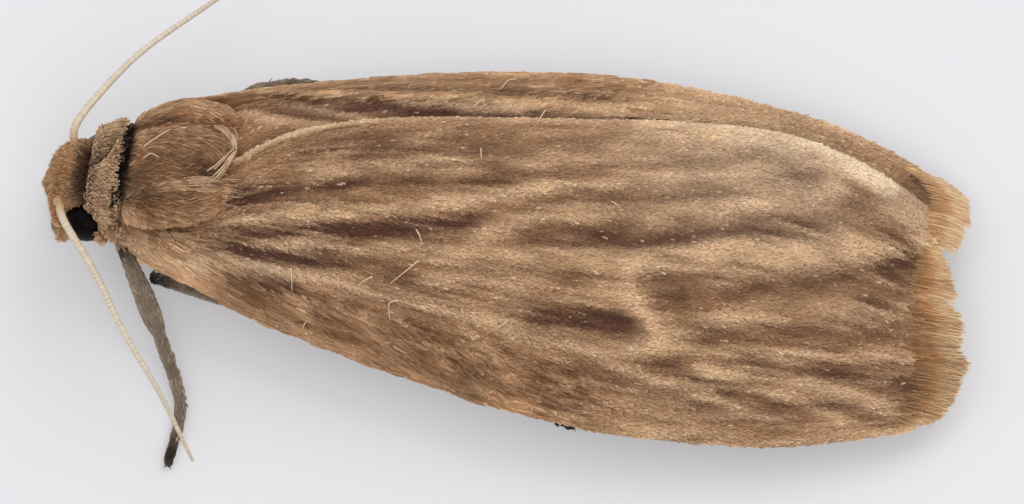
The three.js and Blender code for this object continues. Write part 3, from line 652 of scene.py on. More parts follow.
def body_length(body, x0, x1, off, round_front=0.0, round_back=0.0, rings=24, sides=36):
    """A length of a body from x0 to x1, rounded off over the given distance at each end."""
    x = np.linspace(x0, x1, rings)
    front = np.minimum((x - x0) / round_front, 1) if round_front else np.ones(rings)
    back = np.minimum((x1 - x) / round_back, 1) if round_back else np.ones(rings)
    end = np.maximum(np.sqrt(1 - (1 - np.minimum(front, back)) ** 2), 0.12)
    angle = np.linspace(0, 2 * math.pi, sides, endpoint=False)
    return loft(body_points(body, x[:, None], angle[None], off, end[:, None]))


def body_lobe(side, x0, x1, angles, height, low, square=4, ends=4, rings=18, rows=14):
    """A rounded lobe on the front body's side, between two angles that may change along it.

    square and ends are how steeply its long edges and its ends rise: 2 is round."""
    def rise(t, power):
        return np.sqrt(np.clip(1 - np.abs(2 * t - 1) ** power, 0, 1))

    s = np.linspace(0, 1, rings)[:, None]
    v = np.linspace(0, 1, rows)[None]
    swell = rise(s, ends) * rise(v, square)
    angle = side * np.radians(angles[0](s) * (1 - v) + angles[1](s) * v)
    x = x0 + (x1 - x0) * s + 0 * v
    outer = body_points(FRONT, x, angle, low + height * swell)
    inner = body_points(FRONT, x, angle, low - 0.12)
    ring = np.concatenate([outer, inner[:, ::-1]], 1)
    return loft(ring if side > 0 else ring[:, ::-1])


def sweep(path, radius, sides=16, cap=0.5):
    """A round tube along a path of points, its ends drawn in like a capsule's."""
    tangent = unit(np.gradient(path, axis=0))
    aside = unit(np.cross([0, 0, 1], tangent))
    over = np.cross(tangent, aside)
    angle = np.linspace(0, 2 * math.pi, sides, endpoint=False)[None, :, None]
    ring = aside[:, None] * np.cos(angle) + over[:, None] * np.sin(angle)
    centres = [path[0] - tangent[0] * radius[0] * cap, *path, path[-1] + tangent[-1] * radius[-1] * cap]
    radii = [radius[0] * 0.6, *radius, radius[-1] * 0.6]
    return loft(np.array([c + r * size for c, r, size in zip(centres, [ring[0], *ring, ring[-1]], radii)]))


def leg_routes(joints):
    """The centre line and radii of coxa, femur, tibia and tarsus."""
    stops = {"coxa": joints[0:2], "femur": joints[1:3], "tibia": joints[2:4], "tarsus": joints[3:6]}
    routes = {}
    for name in LEG_PARTS:
        t = np.linspace(0, 1, 41 if name == "tarsus" else 13)
        radius = LEG_RADII[name](t)
        if name == "tarsus":
            radius = radius * (0.86 + 0.16 * np.sqrt((t * TARSOMERES) % 1.0001))
        path = spline(stops[name], t)
        if name in ("femur", "tibia"):
            path[:, 2] += 0.05 * np.sin(t * math.pi)
        routes[name] = (path, radius)
    return routes


LEG_ROUTES = {name: leg_routes(joints) for name, joints in LEGS.items()}
# Dark places along a leg, counted 0 to 1 from the body to the claws: where, and how wide.
LEG_DARK = ((0.25, 0.03), (0.5, 0.05), (0.98, 0.05))

LEFT_TEGULA_X, RIGHT_TEGULA_X = (-5.76, -4.25), (-5.84, -4.15)
# The inner and outer edge of each tegula, in degrees from the top of the body, along its length.
TEGULA_ANGLES = {
    -1: (profile([(0, 44), (0.4, 30), (1, 33)]), profile([(0, 66), (0.3, 71), (0.7, 66), (1, 52)])),
    1: (profile([(0, 58), (0.4, 44), (1, 48)]), profile([(0, 90), (0.3, 106), (0.7, 100), (1, 88)])),
}
# The collar is two lobes over the neck, the left one reaching past the middle.
COLLAR_FRONT_X, COLLAR_BACK_X = -6.34, -5.9
GAP_X = -5.88  # middle of the painted shade in the gap behind the collar
# How far down the collar reaches, and the gap between its lobes, in degrees from the top along it.
COLLAR_REACH = profile([(0, 34), (0.15, 60), (0.41, 80), (0.87, 97), (1, 100)])
COLLAR_SPLIT = profile([(0, 6), (0.4, 14), (0.8, 36), (1, 50)])
COLLAR_ANGLES = {
    -1: (lambda s: -COLLAR_SPLIT(s) + 6, COLLAR_REACH),
    1: (lambda s: COLLAR_SPLIT(s) + 7, COLLAR_REACH),
}
# x where the head ends, by the angle from the top.
HEAD_END = profile([(0, -6.37), (0.5, -6.37), (0.9, -6.3), (1.2, -6.2), (1.65, -5.95)])
CHEEKS = [[(-6.7, -0.5, 1.46), (-6.66, -0.66, 1.38), (-6.58, -0.78, 1.24)],
          [(-6.74, -0.08, 1.5), (-6.64, 0.08, 1.45), (-6.44, 0.18, 1.36)]]
CHEEK_RADIUS = 0.19
GENA, GENA_RADIUS = [(-6.04, -0.78, 1.7), (-6.03, -0.94, 1.52), (-6.0, -1.0, 1.36)], 0.13
NECK_SIDE, NECK_SIDE_RADIUS = [(-6.0, -0.8, 1.45), (-5.86, -0.86, 1.25), (-5.66, -0.84, 1.05)], 0.15
PALP_RADIUS = profile([(0, 0.11), (0.5, 0.12), (1, 0.05)])
HEAD_INSET, THORAX_INSET, BELLY_INSET = -0.13, -0.06, -0.06
VOXEL = 0.039  # the skin's mesh size


def body_solids():
    """Closed shapes that overlap; remeshing joins them into one."""
    solids = [
        body_length(FRONT, HEAD_FRONT + 0.1, -6.1, HEAD_INSET, round_front=0.6),
        body_length(FRONT, -6.35, -4.1, THORAX_INSET, round_front=0.1, round_back=0.25),
        body_length(REAR, -4.5, ABDOMEN_BACK - 0.06, BELLY_INSET, round_front=0.1, round_back=0.6,
                    rings=60),
    ]
    for side in (-1, 1):
        solids.append(body_lobe(side, COLLAR_FRONT_X, COLLAR_BACK_X, COLLAR_ANGLES[side], 0.2, 0.0))
    solids.append(body_lobe(-1, *LEFT_TEGULA_X, TEGULA_ANGLES[-1], 0.17, 0.03))
    solids.append(body_lobe(1, *RIGHT_TEGULA_X, TEGULA_ANGLES[1], 0.25, -0.02, square=1.6, ends=2.6))
    for routes in LEG_ROUTES.values():
        solids += [sweep(*routes[name]) for name in LEG_PARTS]
    t = np.linspace(0, 1, 12)
    rolls = [(points, CHEEK_RADIUS + 0 * t) for points in CHEEKS]
    rolls += [(GENA, GENA_RADIUS + 0 * t), (NECK_SIDE, NECK_SIDE_RADIUS + 0 * t)]
    rolls += [(points, PALP_RADIUS(t)) for points in PALPS.values()]
    return solids + [sweep(spline(points, t), radius) for points, radius in rolls]


def remeshed(solids):
    """One skin round all the solids, as points, their normals, and faces."""
    rough = mesh_object("rough_body", *joined(solids))
    remesh = rough.modifiers.new("Join", "REMESH")
    remesh.mode = "VOXEL"
    remesh.voxel_size = VOXEL
    smooth = rough.modifiers.new("Smooth", "SMOOTH")
    smooth.factor = 0.5
    smooth.iterations = 5
    evaluated = rough.evaluated_get(bpy.context.evaluated_depsgraph_get())
    mesh = bpy.data.meshes.new_from_object(evaluated)
    points, normals = np.zeros((2, len(mesh.vertices) * 3))
    mesh.vertices.foreach_get("co", points)
    mesh.vertices.foreach_get("normal", normals)
    quads = [tuple(p.vertices) for p in mesh.polygons]
    bpy.data.objects.remove(rough)
    bpy.data.meshes.remove(mesh)
    return points.reshape(-1, 3), normals.reshape(-1, 3), quads


def nearest_leg(points):
    """For each point: the leg it is nearest to, the place along it, the gap to its surface and its lie."""
    count = len(points)
    best = {"gap": np.full(count, 1e9), "leg": np.zeros(count, int), "t": np.zeros(count),
            "lie": np.zeros((count, 3)), "centre": np.zeros((count, 3))}
    for number, routes in enumerate(LEG_ROUTES.values()):
        for part, name in enumerate(LEG_PARTS):
            path, radius = routes[name]
            for i, (a, b) in enumerate(zip(path[:-1], path[1:])):
                t = part_way(points, a, b)
                centre = a + t[:, None] * (b - a)
                gap = np.linalg.norm(points - centre, axis=-1) - radius[i]
                nearer = gap < best["gap"]
                best["gap"][nearer] = gap[nearer]
                best["leg"][nearer] = number
                best["t"][nearer] = (part + (i + t[nearer]) / (len(path) - 1)) / len(LEG_PARTS)
                best["lie"][nearer] = unit(b - a)
                best["centre"][nearer] = centre[nearer]
    return best


def body_regions(points, angle, leg):
    """The region of the body that each point belongs to, by name."""
    x, y, z = points.T
    far_aside = np.abs(y - axis_y(x)) > 0.95
    below_face = (x < -6.1) & (z < 0.78) & (leg["t"] > 0.4)
    on_leg = (leg["gap"] < 0.05) & ((z < 0.62) | far_aside | below_face) & (leg["t"] > 0.12)
    region = np.select([on_leg, x < HEAD_END(np.abs(angle)), x < COLLAR_END, x < THORAX_END],
                       ["leg", "head", "collar", "thorax"], "belly")
    low = np.abs(angle) > math.radians(112)
    region[low & np.isin(region, ("thorax", "collar"))] = "belly"
    for palp in PALPS.values():
        for a in spline(palp, np.linspace(0, 1, 9)):
            region[(np.linalg.norm(points - a, axis=-1) < 0.17) & (x < -6.74) & (z < 1.1)] = "palp"
    return region


def body_unwrap(points, angle, region, leg):
    """Each point's place on the unwrap: along and round the body, round the face, and a strip to a leg."""
    from_head = unit(points - HEAD_CENTRE)
    head_patch = np.stack([(np.arctan2(from_head[:, 1], from_head[:, 2]) / math.pi + 1) / 2,
                           np.arccos(np.clip(-from_head[:, 0], -1, 1)) / math.pi], -1)
    radial = points - leg["centre"]
    aside = unit(np.cross([0, 0, 1.0], leg["lie"]))
    leg_angle = (np.arctan2((radial * aside).sum(-1), radial[:, 2]) / math.pi + 1) / 2
    leg_patch = np.stack([leg["t"], (leg["leg"] + 0.04 + 0.92 * leg_angle) / len(LEGS)], -1)
    patch = np.stack([(angle / math.pi + 1) / 2, (points[:, 0] - HEAD_FRONT) / UNWRAP_LENGTH], -1)
    patch = np.where((region == "head")[:, None], head_patch, patch)
    return np.where((region == "leg")[:, None], leg_patch, patch)


def body_lie(points, normal, angle, region, leg):
    """The way hairs lie: back along the body, forward and down over the face, and along each leg."""
    x = points[:, 0]
    outward = unit(points - HEAD_CENTRE)
    lie = np.stack([1 + 0 * x, 0.5 * np.sign(angle) * (np.abs(angle) - 0.75), -0.2 + 0 * x], -1)
    own_lie = {
        "head": unit(np.stack([-0.9 + 0 * x, 0.5 * outward[:, 1], 0.6 * outward[:, 2] - 0.35], -1)),
        "collar": np.stack([0.55 + 0 * x, 0.25 * np.sin(angle), 0.2 + 0 * x], -1),
        "leg": leg["lie"],
    }
    for name, way in own_lie.items():
        lie = np.where((region == name)[:, None], way, lie)
    lie = unit(lie - normal * (lie * normal).sum(-1, keepdims=True))
    sideways = np.cross(normal, lie)
    wave = np.where(region == "leg", 0.0, 0.16 * noise(points, 0.55, 23) + 0.2 * noise(points, 0.16, 24))
    return unit(lie + sideways * wave[:, None])


def head_painted_shade(points):
    """Painted shade on the head: at its back, where it meets the collar, and over its crown on the right.
    """
    x, y, z = points.T
    aside = y - axis_y(x)
    occiput = np.exp(-(((x + 6.38) / 0.16) ** 4 + (aside / 0.55) ** 4))
    crown = 0.3 * smoothstep(aside, 0.1, 0.5) * smoothstep(z, 1.3, 1.7)
    return np.maximum(occiput, crown)


def collar_split(x):
    """The angle of the gap between the collar's two lobes."""
    return np.radians(COLLAR_SPLIT((x - COLLAR_FRONT_X) / (COLLAR_BACK_X - COLLAR_FRONT_X)))


def collar_painted_shade(x, angle):
    """Painted shade in the gaps behind the collar and between its lobes, and in a crease along each tegula.
    """
    half_gap = 0.085 - 0.04 * smoothstep(-angle, 0.2, 0.9)
    behind = smoothstep(half_gap + 0.02 - np.abs(x - GAP_X), 0.0, 0.03)
    behind *= 1 - smoothstep(-angle, 0.85, 1.05)
    between = np.exp(-((angle - collar_split(x)) / 0.14) ** 2) * (x < COLLAR_BACK_X)
    along_tegula = (x - LEFT_TEGULA_X[0]) / 1.5
    inner_edge = np.where(angle < 0, TEGULA_ANGLES[-1][0](along_tegula), TEGULA_ANGLES[1][0](along_tegula))
    crease = 0.5 * np.exp(-((np.abs(angle) - np.radians(inner_edge)) / 0.05) ** 2)
    crease *= (x > -5.8) * (1 - smoothstep(x, -5.5, -5.1))
    return np.max([behind, between, crease], axis=0)


def thorax_pale(x, angle):
    """The pale flank on the left, a pale line above the right tegula, and the left tegula's pale end."""
    flank = smoothstep(-angle, np.radians(72), np.radians(86))
    line = 0.4 * np.exp(-((angle - 0.95) / 0.14) ** 2) * (x > -5.7)
    end = 0.8 * smoothstep(x, -4.9, -4.5) * (angle < -0.4) * (angle > -1.2)
    return np.max([flank, line, end], axis=0)


def body_tint(points, angle, region, leg):
    """The body's colours by point: each region's own ground, with its pale and dark marks and painted
    shade.
    """
    x = points[:, 0]
    pale = 0.35 + 0.3 * noise(points, 0.5, 21)
    dark = 0.2 * np.clip(noise(points, 0.4, 22), 0, 1)
    # painted shade at the head's back and crown, in the gaps of the collar and in the creases by the
    # tegulae
    dark = np.where(region == "head", np.maximum(dark, head_painted_shade(points)), dark)
    dark = np.where(np.isin(region, ("collar", "thorax")), np.maximum(dark, collar_painted_shade(x, angle)), dark)
    shoulder = thorax_pale(x, angle) * (region == "thorax")
    pale, dark = np.maximum(pale, shoulder), dark * (1 - 0.9 * shoulder)
    joints = np.max([np.exp(-((leg["t"] - at) / width) ** 2) for at, width in LEG_DARK], axis=0)
    dark = np.where(region == "leg", np.maximum(dark, joints), dark)
    colour = np.zeros_like(points)
    for name in BODY_REGIONS:
        here = region == name
        colour[here] = tint(name, {"pale": pale[here], "dark": dark[here]})
    return colour


def skin_body():
    """The remeshed body with its regions, lie, unwrap and colours, all by point."""
    points, normal, faces = remeshed(body_solids())
    x, y, z = points.T
    front_middle, rear_middle = [(top(x) + bottom(x)) / 2 for _, top, bottom in (FRONT, REAR)]
    angle = np.arctan2(y - axis_y(x), z - np.where(x < -4.2, front_middle, rear_middle))
    leg = nearest_leg(points)
    region = body_regions(points, angle, leg)
    return {"points": points, "faces": faces, "region": region, "angle": angle,
            "lie": body_lie(points, normal, angle, region, leg),
            "patch": body_unwrap(points, angle, region, leg),
            "tint": body_tint(points, angle, region, leg)}


SEAM_WIDTH = 0.12  # a face that spans more of the unwrap than this lies across its seam


def stretched(patch, used):
    """The unwrap stretched so that the places of the used points fill it."""
    low, high = patch[used].min(0), patch[used].max(0)
    return np.clip(0.01 + 0.98 * (patch - low) / np.maximum(high - low, 1e-9), 0.01, 0.99)


def bed_of(body, chosen):
    """A bed for hairs: the faces of the body whose points are all chosen, but for those on a seam."""
    def on_bed(face):
        return chosen[face].all() and np.ptp(body["patch"][face], axis=0).max() < SEAM_WIDTH

    faces = [f for f in body["faces"] if on_bed(list(f))]
    used = np.unique(np.array(faces))
    renumber = np.full(len(chosen), -1)
    renumber[used] = np.arange(len(used))
    patch = stretched(body["patch"], used)[used]
    return {
        "points": body["points"][used],
        "faces": [tuple(int(i) for i in renumber[list(f)]) for f in faces],
        "lie": body["lie"][used],
        "patch": np.concatenate([patch, np.zeros((len(patch), 1))], 1),
        "tint": body["tint"][used],
    }


# ---- The scale coat: one Geometry Nodes tree for scales, hairs and curls ----

def node_maker(tree):
    """A short way to add a node with its settings, its links and its values."""
    def make(kind, values=None, **settings):
        node = tree.nodes.new(kind)
        for key, value in settings.items():
            setattr(node, key, value)
        for key, value in (values or {}).items():
            if isinstance(value, bpy.types.NodeSocket):
                tree.links.new(value, node.inputs[key])
            else:
                node.inputs[key].default_value = value
        return node
    return make


def node_math(make, operation, a, b):
    return make("ShaderNodeMath", {0: a, 1: b}, operation=operation).outputs[0]


def vector_math(make, operation, a, b):
    return make("ShaderNodeVectorMath", {0: a, 1: b}, operation=operation).outputs[0]


def product(make, *factors):
    total = factors[0]
    for factor in factors[1:]:
        total = node_math(make, "MULTIPLY", total, factor)
    return total


# The coat's named inputs: the kind of each and its value.
COAT_INPUTS = {
    "Bed": ("Geometry", None), "Vane": ("Object", None), "Density": ("Float", 100.0),
    "Spacing": ("Float", 0.01), "Length": ("Float", 0.1), "Width": ("Float", 0.04), "Lift": ("Float", 0.2),
    "Swirl": ("Float", 0.2), "Roll": ("Float", 0.2), "Uneven": ("Float", 0.3), "Seed": ("Int", 1),
    "Finish": ("Material", None),
}


def coat_group():
    """An empty node group with the coat's inputs and its output."""
    tree = bpy.data.node_groups.new("Scale coat", "GeometryNodeTree")
    for name, (kind, default) in COAT_INPUTS.items():
        socket = tree.interface.new_socket(name, in_out="INPUT", socket_type="NodeSocket" + kind)
        if default is not None:
            socket.default_value = default
    tree.interface.new_socket("Coat", in_out="OUTPUT", socket_type="NodeSocketGeometry")
    return tree


def chance(make, seed, step, low=-1.0, high=1.0):
    """A random number by vane; each step away from the seed gives a different one."""
    own_seed = node_math(make, "ADD", seed, float(step))
    return make("FunctionNodeRandomValue", {2: low, 3: high, 8: own_seed}, data_type="FLOAT").outputs[1]


def from_bed(make, name, kind="FLOAT_VECTOR"):
    return make("GeometryNodeInputNamedAttribute", {"Name": name}, data_type=kind).outputs["Attribute"]


def vane_turn(make, given, normal, lift):
    """A vane's rotation: upright on the bed, laid along its lie, then rolled, lifted and swirled."""
    seed = given["Seed"]
    upright = make("FunctionNodeAlignRotationToVector", {"Vector": normal}, axis="Z")
    laid = make("FunctionNodeAlignRotationToVector", {
        "Rotation": upright.outputs[0], "Vector": from_bed(make, "lie")}, axis="X", pivot_axis="Z")
    angles = make("ShaderNodeCombineXYZ", {
        "X": product(make, given["Roll"], chance(make, seed, 2)),
        "Y": product(make, given["Lift"], lift, chance(make, seed, 1, -1.5, -0.5)),
        "Z": product(make, given["Swirl"], chance(make, seed, 3))})
    turn = make("FunctionNodeEulerToRotation", {0: angles.outputs[0]})
    return make("FunctionNodeRotateRotation", {
        "Rotation": laid.outputs[0], "Rotate By": turn.outputs[0]}, rotation_space="LOCAL").outputs[0]


def vane_size(make, given, length, width):
    """A vane's scale: its own length and width by place on the bed, both grown unevenly."""
    growth = node_math(make, "ADD", 1.0, product(make, given["Uneven"], chance(make, given["Seed"], 4)))
    long = product(make, given["Length"], length, growth)
    wide = product(make, given["Width"], width, growth)
    return make("ShaderNodeCombineXYZ", {"X": long, "Y": wide, "Z": long}).outputs[0]


def bake_spot(make):
    """A vane's corners in the bake map: a small square about its root's place on the unwrap."""
    middle = vector_math(make, "SUBTRACT", from_bed(make, "vane"), (0.5, 0.5, 0.0))
    return vector_math(make, "ADD", from_bed(make, "patch"),
                       vector_math(make, "MULTIPLY", middle, (PATCH, PATCH, 0.0)))


def coat_tree():
    """Vanes spread over a bed, each lying along the bed's lie with its root at the bed."""
    tree = coat_group()
    make = node_maker(tree)
    given = make("NodeGroupInput").outputs
    shape = make("ShaderNodeSeparateXYZ", {0: from_bed(make, "shape")}).outputs
    roots = make("GeometryNodeDistributePointsOnFaces", {
        "Mesh": given["Bed"], "Distance Min": given["Spacing"], "Density Max": given["Density"],
        "Density Factor": from_bed(make, "cover", "FLOAT"), "Seed": given["Seed"]},
        distribute_method="POISSON")
    picked = make("GeometryNodeStoreNamedAttribute", {
        "Geometry": roots.outputs["Points"], "Name": "pick",
        "Value": chance(make, given["Seed"], 5, 0.0, 1.0)}, data_type="FLOAT", domain="POINT")
    planted = make("GeometryNodeInstanceOnPoints", {
        "Points": picked.outputs[0],
        "Instance": make("GeometryNodeObjectInfo", {"Object": given["Vane"]}).outputs["Geometry"],
        "Rotation": vane_turn(make, given, roots.outputs["Normal"], shape["Z"]),
        "Scale": vane_size(make, given, shape["X"], shape["Y"])})
    solid = make("GeometryNodeRealizeInstances", {"Geometry": planted.outputs[0]})
    unwrapped = make("GeometryNodeStoreNamedAttribute", {
        "Geometry": solid.outputs[0], "Name": "OFBake", "Value": bake_spot(make)},
        data_type="FLOAT2", domain="CORNER")
    geometry = unwrapped.outputs[0]
    for spent in ("lie", "shape", "cover", "patch"):
        geometry = make("GeometryNodeRemoveAttribute", {"Geometry": geometry, "Name": spent}).outputs[0]
    finished = make("GeometryNodeSetMaterial", {"Geometry": geometry, "Material": given["Finish"]})
    make("NodeGroupOutput", {0: finished.outputs[0]})
    return tree


COAT_TREE = coat_tree()


def vane(name, rings, ridge=0.2, bend=0.0, blunt=False):
    """A scale or hair one unit long and wide along +X, pointed at its root and folded on a ridge.

    rings are (place along, half width); bend lifts the tip, or drops it where negative.
    A blunt vane ends at its last ring, the others in a point."""
    def height(x):
        return bend * x * x

    points, across = [(0.0, 0.0, 0.0)], [(0.5, 0.0, 0.0)]
    for x, half in rings:
        points += [(x, half, height(x) - ridge * half), (x, 0.0, height(x) + ridge * half),
                   (x, -half, height(x) - ridge * half)]
        across += [(0.5 + half, x, 0.0), (0.5, x, 0.0), (0.5 - half, x, 0.0)]
    faces = [(0, 3, 2), (0, 2, 1)]
    for i in range(len(rings) - 1):
        a = 1 + 3 * i
        faces += [(a + 1, a + 2, a + 5, a + 4), (a, a + 1, a + 4, a + 3)]
    if not blunt:
        tip, last = len(points), len(points) - 3
        points.append((1.0, 0.0, height(1.0)))
        across.append((0.5, 1.0, 0.0))
        faces += [(last + 2, tip, last + 1), (last + 1, tip, last)]
    return mesh_object(name, points, faces, {"vane": across})


VANES = {
    "scale": vane("vane_scale", [(0.5, 0.5), (1.0, 0.34)], ridge=0.2, bend=-0.03, blunt=True),
    "long_scale": vane("vane_long_scale", [(0.35, 0.5), (0.8, 0.34)], ridge=0.3, bend=-0.08),
    "hair": vane("vane_hair", [(0.25, 0.5), (0.7, 0.4)], ridge=0.3, bend=-0.16),
    "curl": vane("vane_curl", [(0.4, 0.45), (0.85, 0.5)], ridge=0.2, bend=-0.25),
    "fringe": vane("vane_fringe", [(0.3, 0.4), (0.8, 0.5), (1.0, 0.3)], ridge=0.12, bend=-0.06, blunt=True),
}


def grow(name, bed, kind, finish, slot, density, length, width, lift, swirl=0.2, roll=0.25,
         uneven=0.3, seed=1, spread=0.55, shape=None, cover=None):
    """Grows a coat piece on a bed and returns it as a plain mesh in the row frame.

    shape scales length, width and lift by point; cover thins the coat, 1 where it is full."""
    count = len(bed["points"])
    ground = mesh_object(name + "_bed", bed["points"], bed["faces"], {
        "lie": bed["lie"], "patch": bed["patch"], "tint": bed["tint"],
        "shape": np.ones((count, 3)) if shape is None else shape,
        "cover": np.ones(count) if cover is None else cover})
    modifier = ground.modifiers.new("Coat", "NODES")
    modifier.node_group = COAT_TREE
    values = {"Vane": VANES[kind], "Density": float(density), "Spacing": spread / math.sqrt(density),
              "Length": float(length), "Width": float(width), "Lift": float(lift), "Swirl": float(swirl),
              "Roll": float(roll), "Uneven": float(uneven), "Seed": seed, "Finish": finish}
    for item in COAT_TREE.interface.items_tree:
        if item.name in values:
            modifier[item.identifier] = values[item.name]
    evaluated = ground.evaluated_get(bpy.context.evaluated_depsgraph_get())
    mesh = bpy.data.meshes.new_from_object(evaluated)
    mesh.name = name
    bpy.data.objects.remove(ground)
    made = bpy.data.objects.new(name, mesh)
    bpy.context.scene.collection.objects.link(made)
    return place(made, slot)


# ---- Materials ----

def new_material(name):
    """The node maker of an empty material, and a function that closes it with a shader and returns it."""
    material = bpy.data.materials.new(name)
    material.use_nodes = True
    tree = material.node_tree
    tree.nodes.clear()
    make = node_maker(tree)
    output = make("ShaderNodeOutputMaterial")

    def finish(shader):
        tree.links.new(shader.outputs[0], output.inputs["Surface"])
        return material
    return make, finish


def attribute(make, name, output="Fac"):
    return make("ShaderNodeAttribute", {}, attribute_name=name).outputs[output]


def millimetres(make):
    """Object coordinates as millimetres."""
    place_of = make("ShaderNodeTexCoord").outputs["Object"]
    return vector_math(make, "MULTIPLY", place_of, (1 / MM,) * 3)


def mapped(make, value, low, high, start=0.0, end=1.0):
    """The value's range from start to end carried onto low to high, and held there."""
    return make("ShaderNodeMapRange", {"Value": value, 1: start, 2: end, 3: low, 4: high}).outputs[0]


def mixed(make, factor, first, second):
    return make("ShaderNodeMix", {"Factor": factor, 6: first, 7: second}, data_type="RGBA").outputs[2]


def cloud(make, scale, detail=2.0, roughness=0.5):
    """Soft noise, 0 to 1, with scale lumps to a millimetre."""
    return make("ShaderNodeTexNoise", {"Vector": millimetres(make), "Scale": scale, "Detail": detail,
                                       "Roughness": roughness}).outputs["Fac"]


def relief(make, height, strength, depth):
    """A bumpy surface from heights of 0 to 1, depth in millimetres."""
    bump = make("ShaderNodeBump", {"Height": height, "Strength": strength, "Distance": depth * MM})
    return bump.outputs[0]


def brightness(make, colour, factor):
    """The colour with its value multiplied by a factor."""
    return make("ShaderNodeHueSaturation", {"Color": colour, "Value": factor}).outputs[0]


def scale_finish(name, spread=0.35, tip=0.2, tip_from=0.0, root=0.9, rough=0.55, gloss=0.2, sheen=0.06,
                 sparkle=0.05, cream=(0.86, 0.64, 0.40, 1)):
    """Scales and hairs: the bed's colour, each a little lighter or darker, with painted shade towards its
    root, a cream tip and fine ribs.

    sparkle is the share of bright scales on the palest ground; on dark ground there are hardly any."""
    make, finish = new_material(name)
    pick = attribute(make, "pick")
    second_pick = node_math(make, "FRACT", product(make, pick, 17.3), 0.0)  # as good as another draw
    vane_place = attribute(make, "vane", "Vector")
    along_vane = make("ShaderNodeSeparateXYZ", {0: vane_place}).outputs["Y"]
    ground = attribute(make, "tint", "Color")
    light = make("ShaderNodeSeparateColor", {"Color": ground}).outputs["Red"]
    # the last factor paints shade over the root half of each vane, where it lies among the others
    shade = product(make, mapped(make, pick, 1 - spread / 2, 1 + spread / 2),
                    mapped(make, cloud(make, 2.2, detail=3.0), 0.82, 1.18),
                    mapped(make, along_vane, root, 1.0, end=0.5))
    coloured = brightness(make, ground, shade)
    rinsed = mixed(make, 0.65, coloured, cream)
    tipped = product(make, mapped(make, along_vane, 0.0, tip * 2, start=tip_from), second_pick,
                     mapped(make, light, 0.1, 1.0, start=0.1, end=0.45))
    creamy = mixed(make, tipped, coloured, rinsed)
    share = mapped(make, light, 0.012, sparkle, start=0.35, end=0.8)
    rare = node_math(make, "GREATER_THAN", node_math(make, "ADD", pick, share), 1.0)
    paler = mixed(make, product(make, rare, 0.5), creamy, (0.95, 0.76, 0.52, 1))
    ribs = make("ShaderNodeTexWave", {"Vector": vane_place, "Scale": 2.5, "Distortion": 0.6},
                bands_direction="X").outputs["Fac"]
    return finish(make("ShaderNodeBsdfPrincipled", {
        "Base Color": paler, "Roughness": mapped(make, pick, rough - 0.1, rough + 0.12),
        "Specular IOR Level": gloss, "Normal": relief(make, ribs, 0.25, 0.003),
        "Sheen Weight": sheen, "Sheen Roughness": 0.4, "Sheen Tint": (0.95, 0.82, 0.62, 1)}))


def skin_finish():
    """The ground under the coat: the same markings, mottled, with a fine pitted grain."""
    make, finish = new_material("skin_of_scales")
    pits = make("ShaderNodeTexVoronoi", {"Vector": millimetres(make), "Scale": 26.0}).outputs["Distance"]
    mottle = mapped(make, cloud(make, 3.0, detail=6.0, roughness=0.6), 0.62, 0.98)
    shade = product(make, mottle, mapped(make, pits, 1.08, 0.8, end=0.6))
    return finish(make("ShaderNodeBsdfPrincipled", {
        "Base Color": brightness(make, attribute(make, "tint", "Color"), shade), "Roughness": 0.62,
        "Specular IOR Level": 0.3, "Normal": relief(make, pits, 0.5, 0.01),
        "Sheen Weight": 0.15, "Sheen Roughness": 0.5}))


def eye_finish():
    """A black compound eye: small facets under a faint gloss."""
    make, finish = new_material("compound_eye")
    facets = make("ShaderNodeTexVoronoi", {"Vector": millimetres(make), "Scale": 30.0, "Randomness": 0.25},
                  feature="DISTANCE_TO_EDGE").outputs["Distance"]
    lens = mapped(make, facets, 0.0, 1.0, end=0.18)
    colour = mixed(make, cloud(make, 3.0), (0.002, 0.0015, 0.002, 1), (0.007, 0.004, 0.004, 1))
    return finish(make("ShaderNodeBsdfPrincipled", {
        "Base Color": colour, "Roughness": 0.24, "Specular IOR Level": 0.05,
        "Normal": relief(make, lens, 0.35, 0.006)}))


def feeler_finish():
    """Pale cream rings, browner at the head and greyer towards the tip, dusted with fine scales."""
    make, finish = new_material("ringed_feeler")
    place_on = make("ShaderNodeSeparateXYZ", {0: attribute(make, "ring", "Vector")}).outputs
    along_it, in_ring = place_on["X"], place_on["Y"]
    ramp = make("ShaderNodeValToRGB", {"Fac": along_it})
    stops = ((0.0, (0.55, 0.33, 0.16, 1)), (0.11, (0.66, 0.44, 0.24, 1)), (0.2, (0.78, 0.65, 0.47, 1)),
             (0.6, (0.78, 0.68, 0.54, 1)), (1.0, (0.66, 0.53, 0.41, 1)))
    for end, stop in zip(ramp.color_ramp.elements, (stops[0], stops[-1])):
        end.position, end.color = stop
    for position, colour in stops[1:-1]:
        ramp.color_ramp.elements.new(position).color = colour
    speckle = cloud(make, 22.0, detail=3.0)
    shade = product(make, mapped(make, in_ring, 0.84, 1.1), mapped(make, speckle, 0.75, 1.2))
    return finish(make("ShaderNodeBsdfPrincipled", {
        "Base Color": brightness(make, ramp.outputs["Color"], shade), "Roughness": 0.55,
        "Specular IOR Level": 0.35, "Normal": relief(make, speckle, 0.4, 0.006)}))


def loose_finish():
    """Loose slivers in tints of their own, a little uneven in tone."""
    make, finish = new_material("loose_cream_scale")
    mottle = cloud(make, 9.0, detail=3.0)
    return finish(make("ShaderNodeBsdfPrincipled", {
        "Base Color": brightness(make, attribute(make, "tint", "Color"), mapped(make, mottle, 0.5, 1.05)),
        "Roughness": 0.45, "Specular IOR Level": 0.4, "Normal": relief(make, mottle, 0.2, 0.003)}))


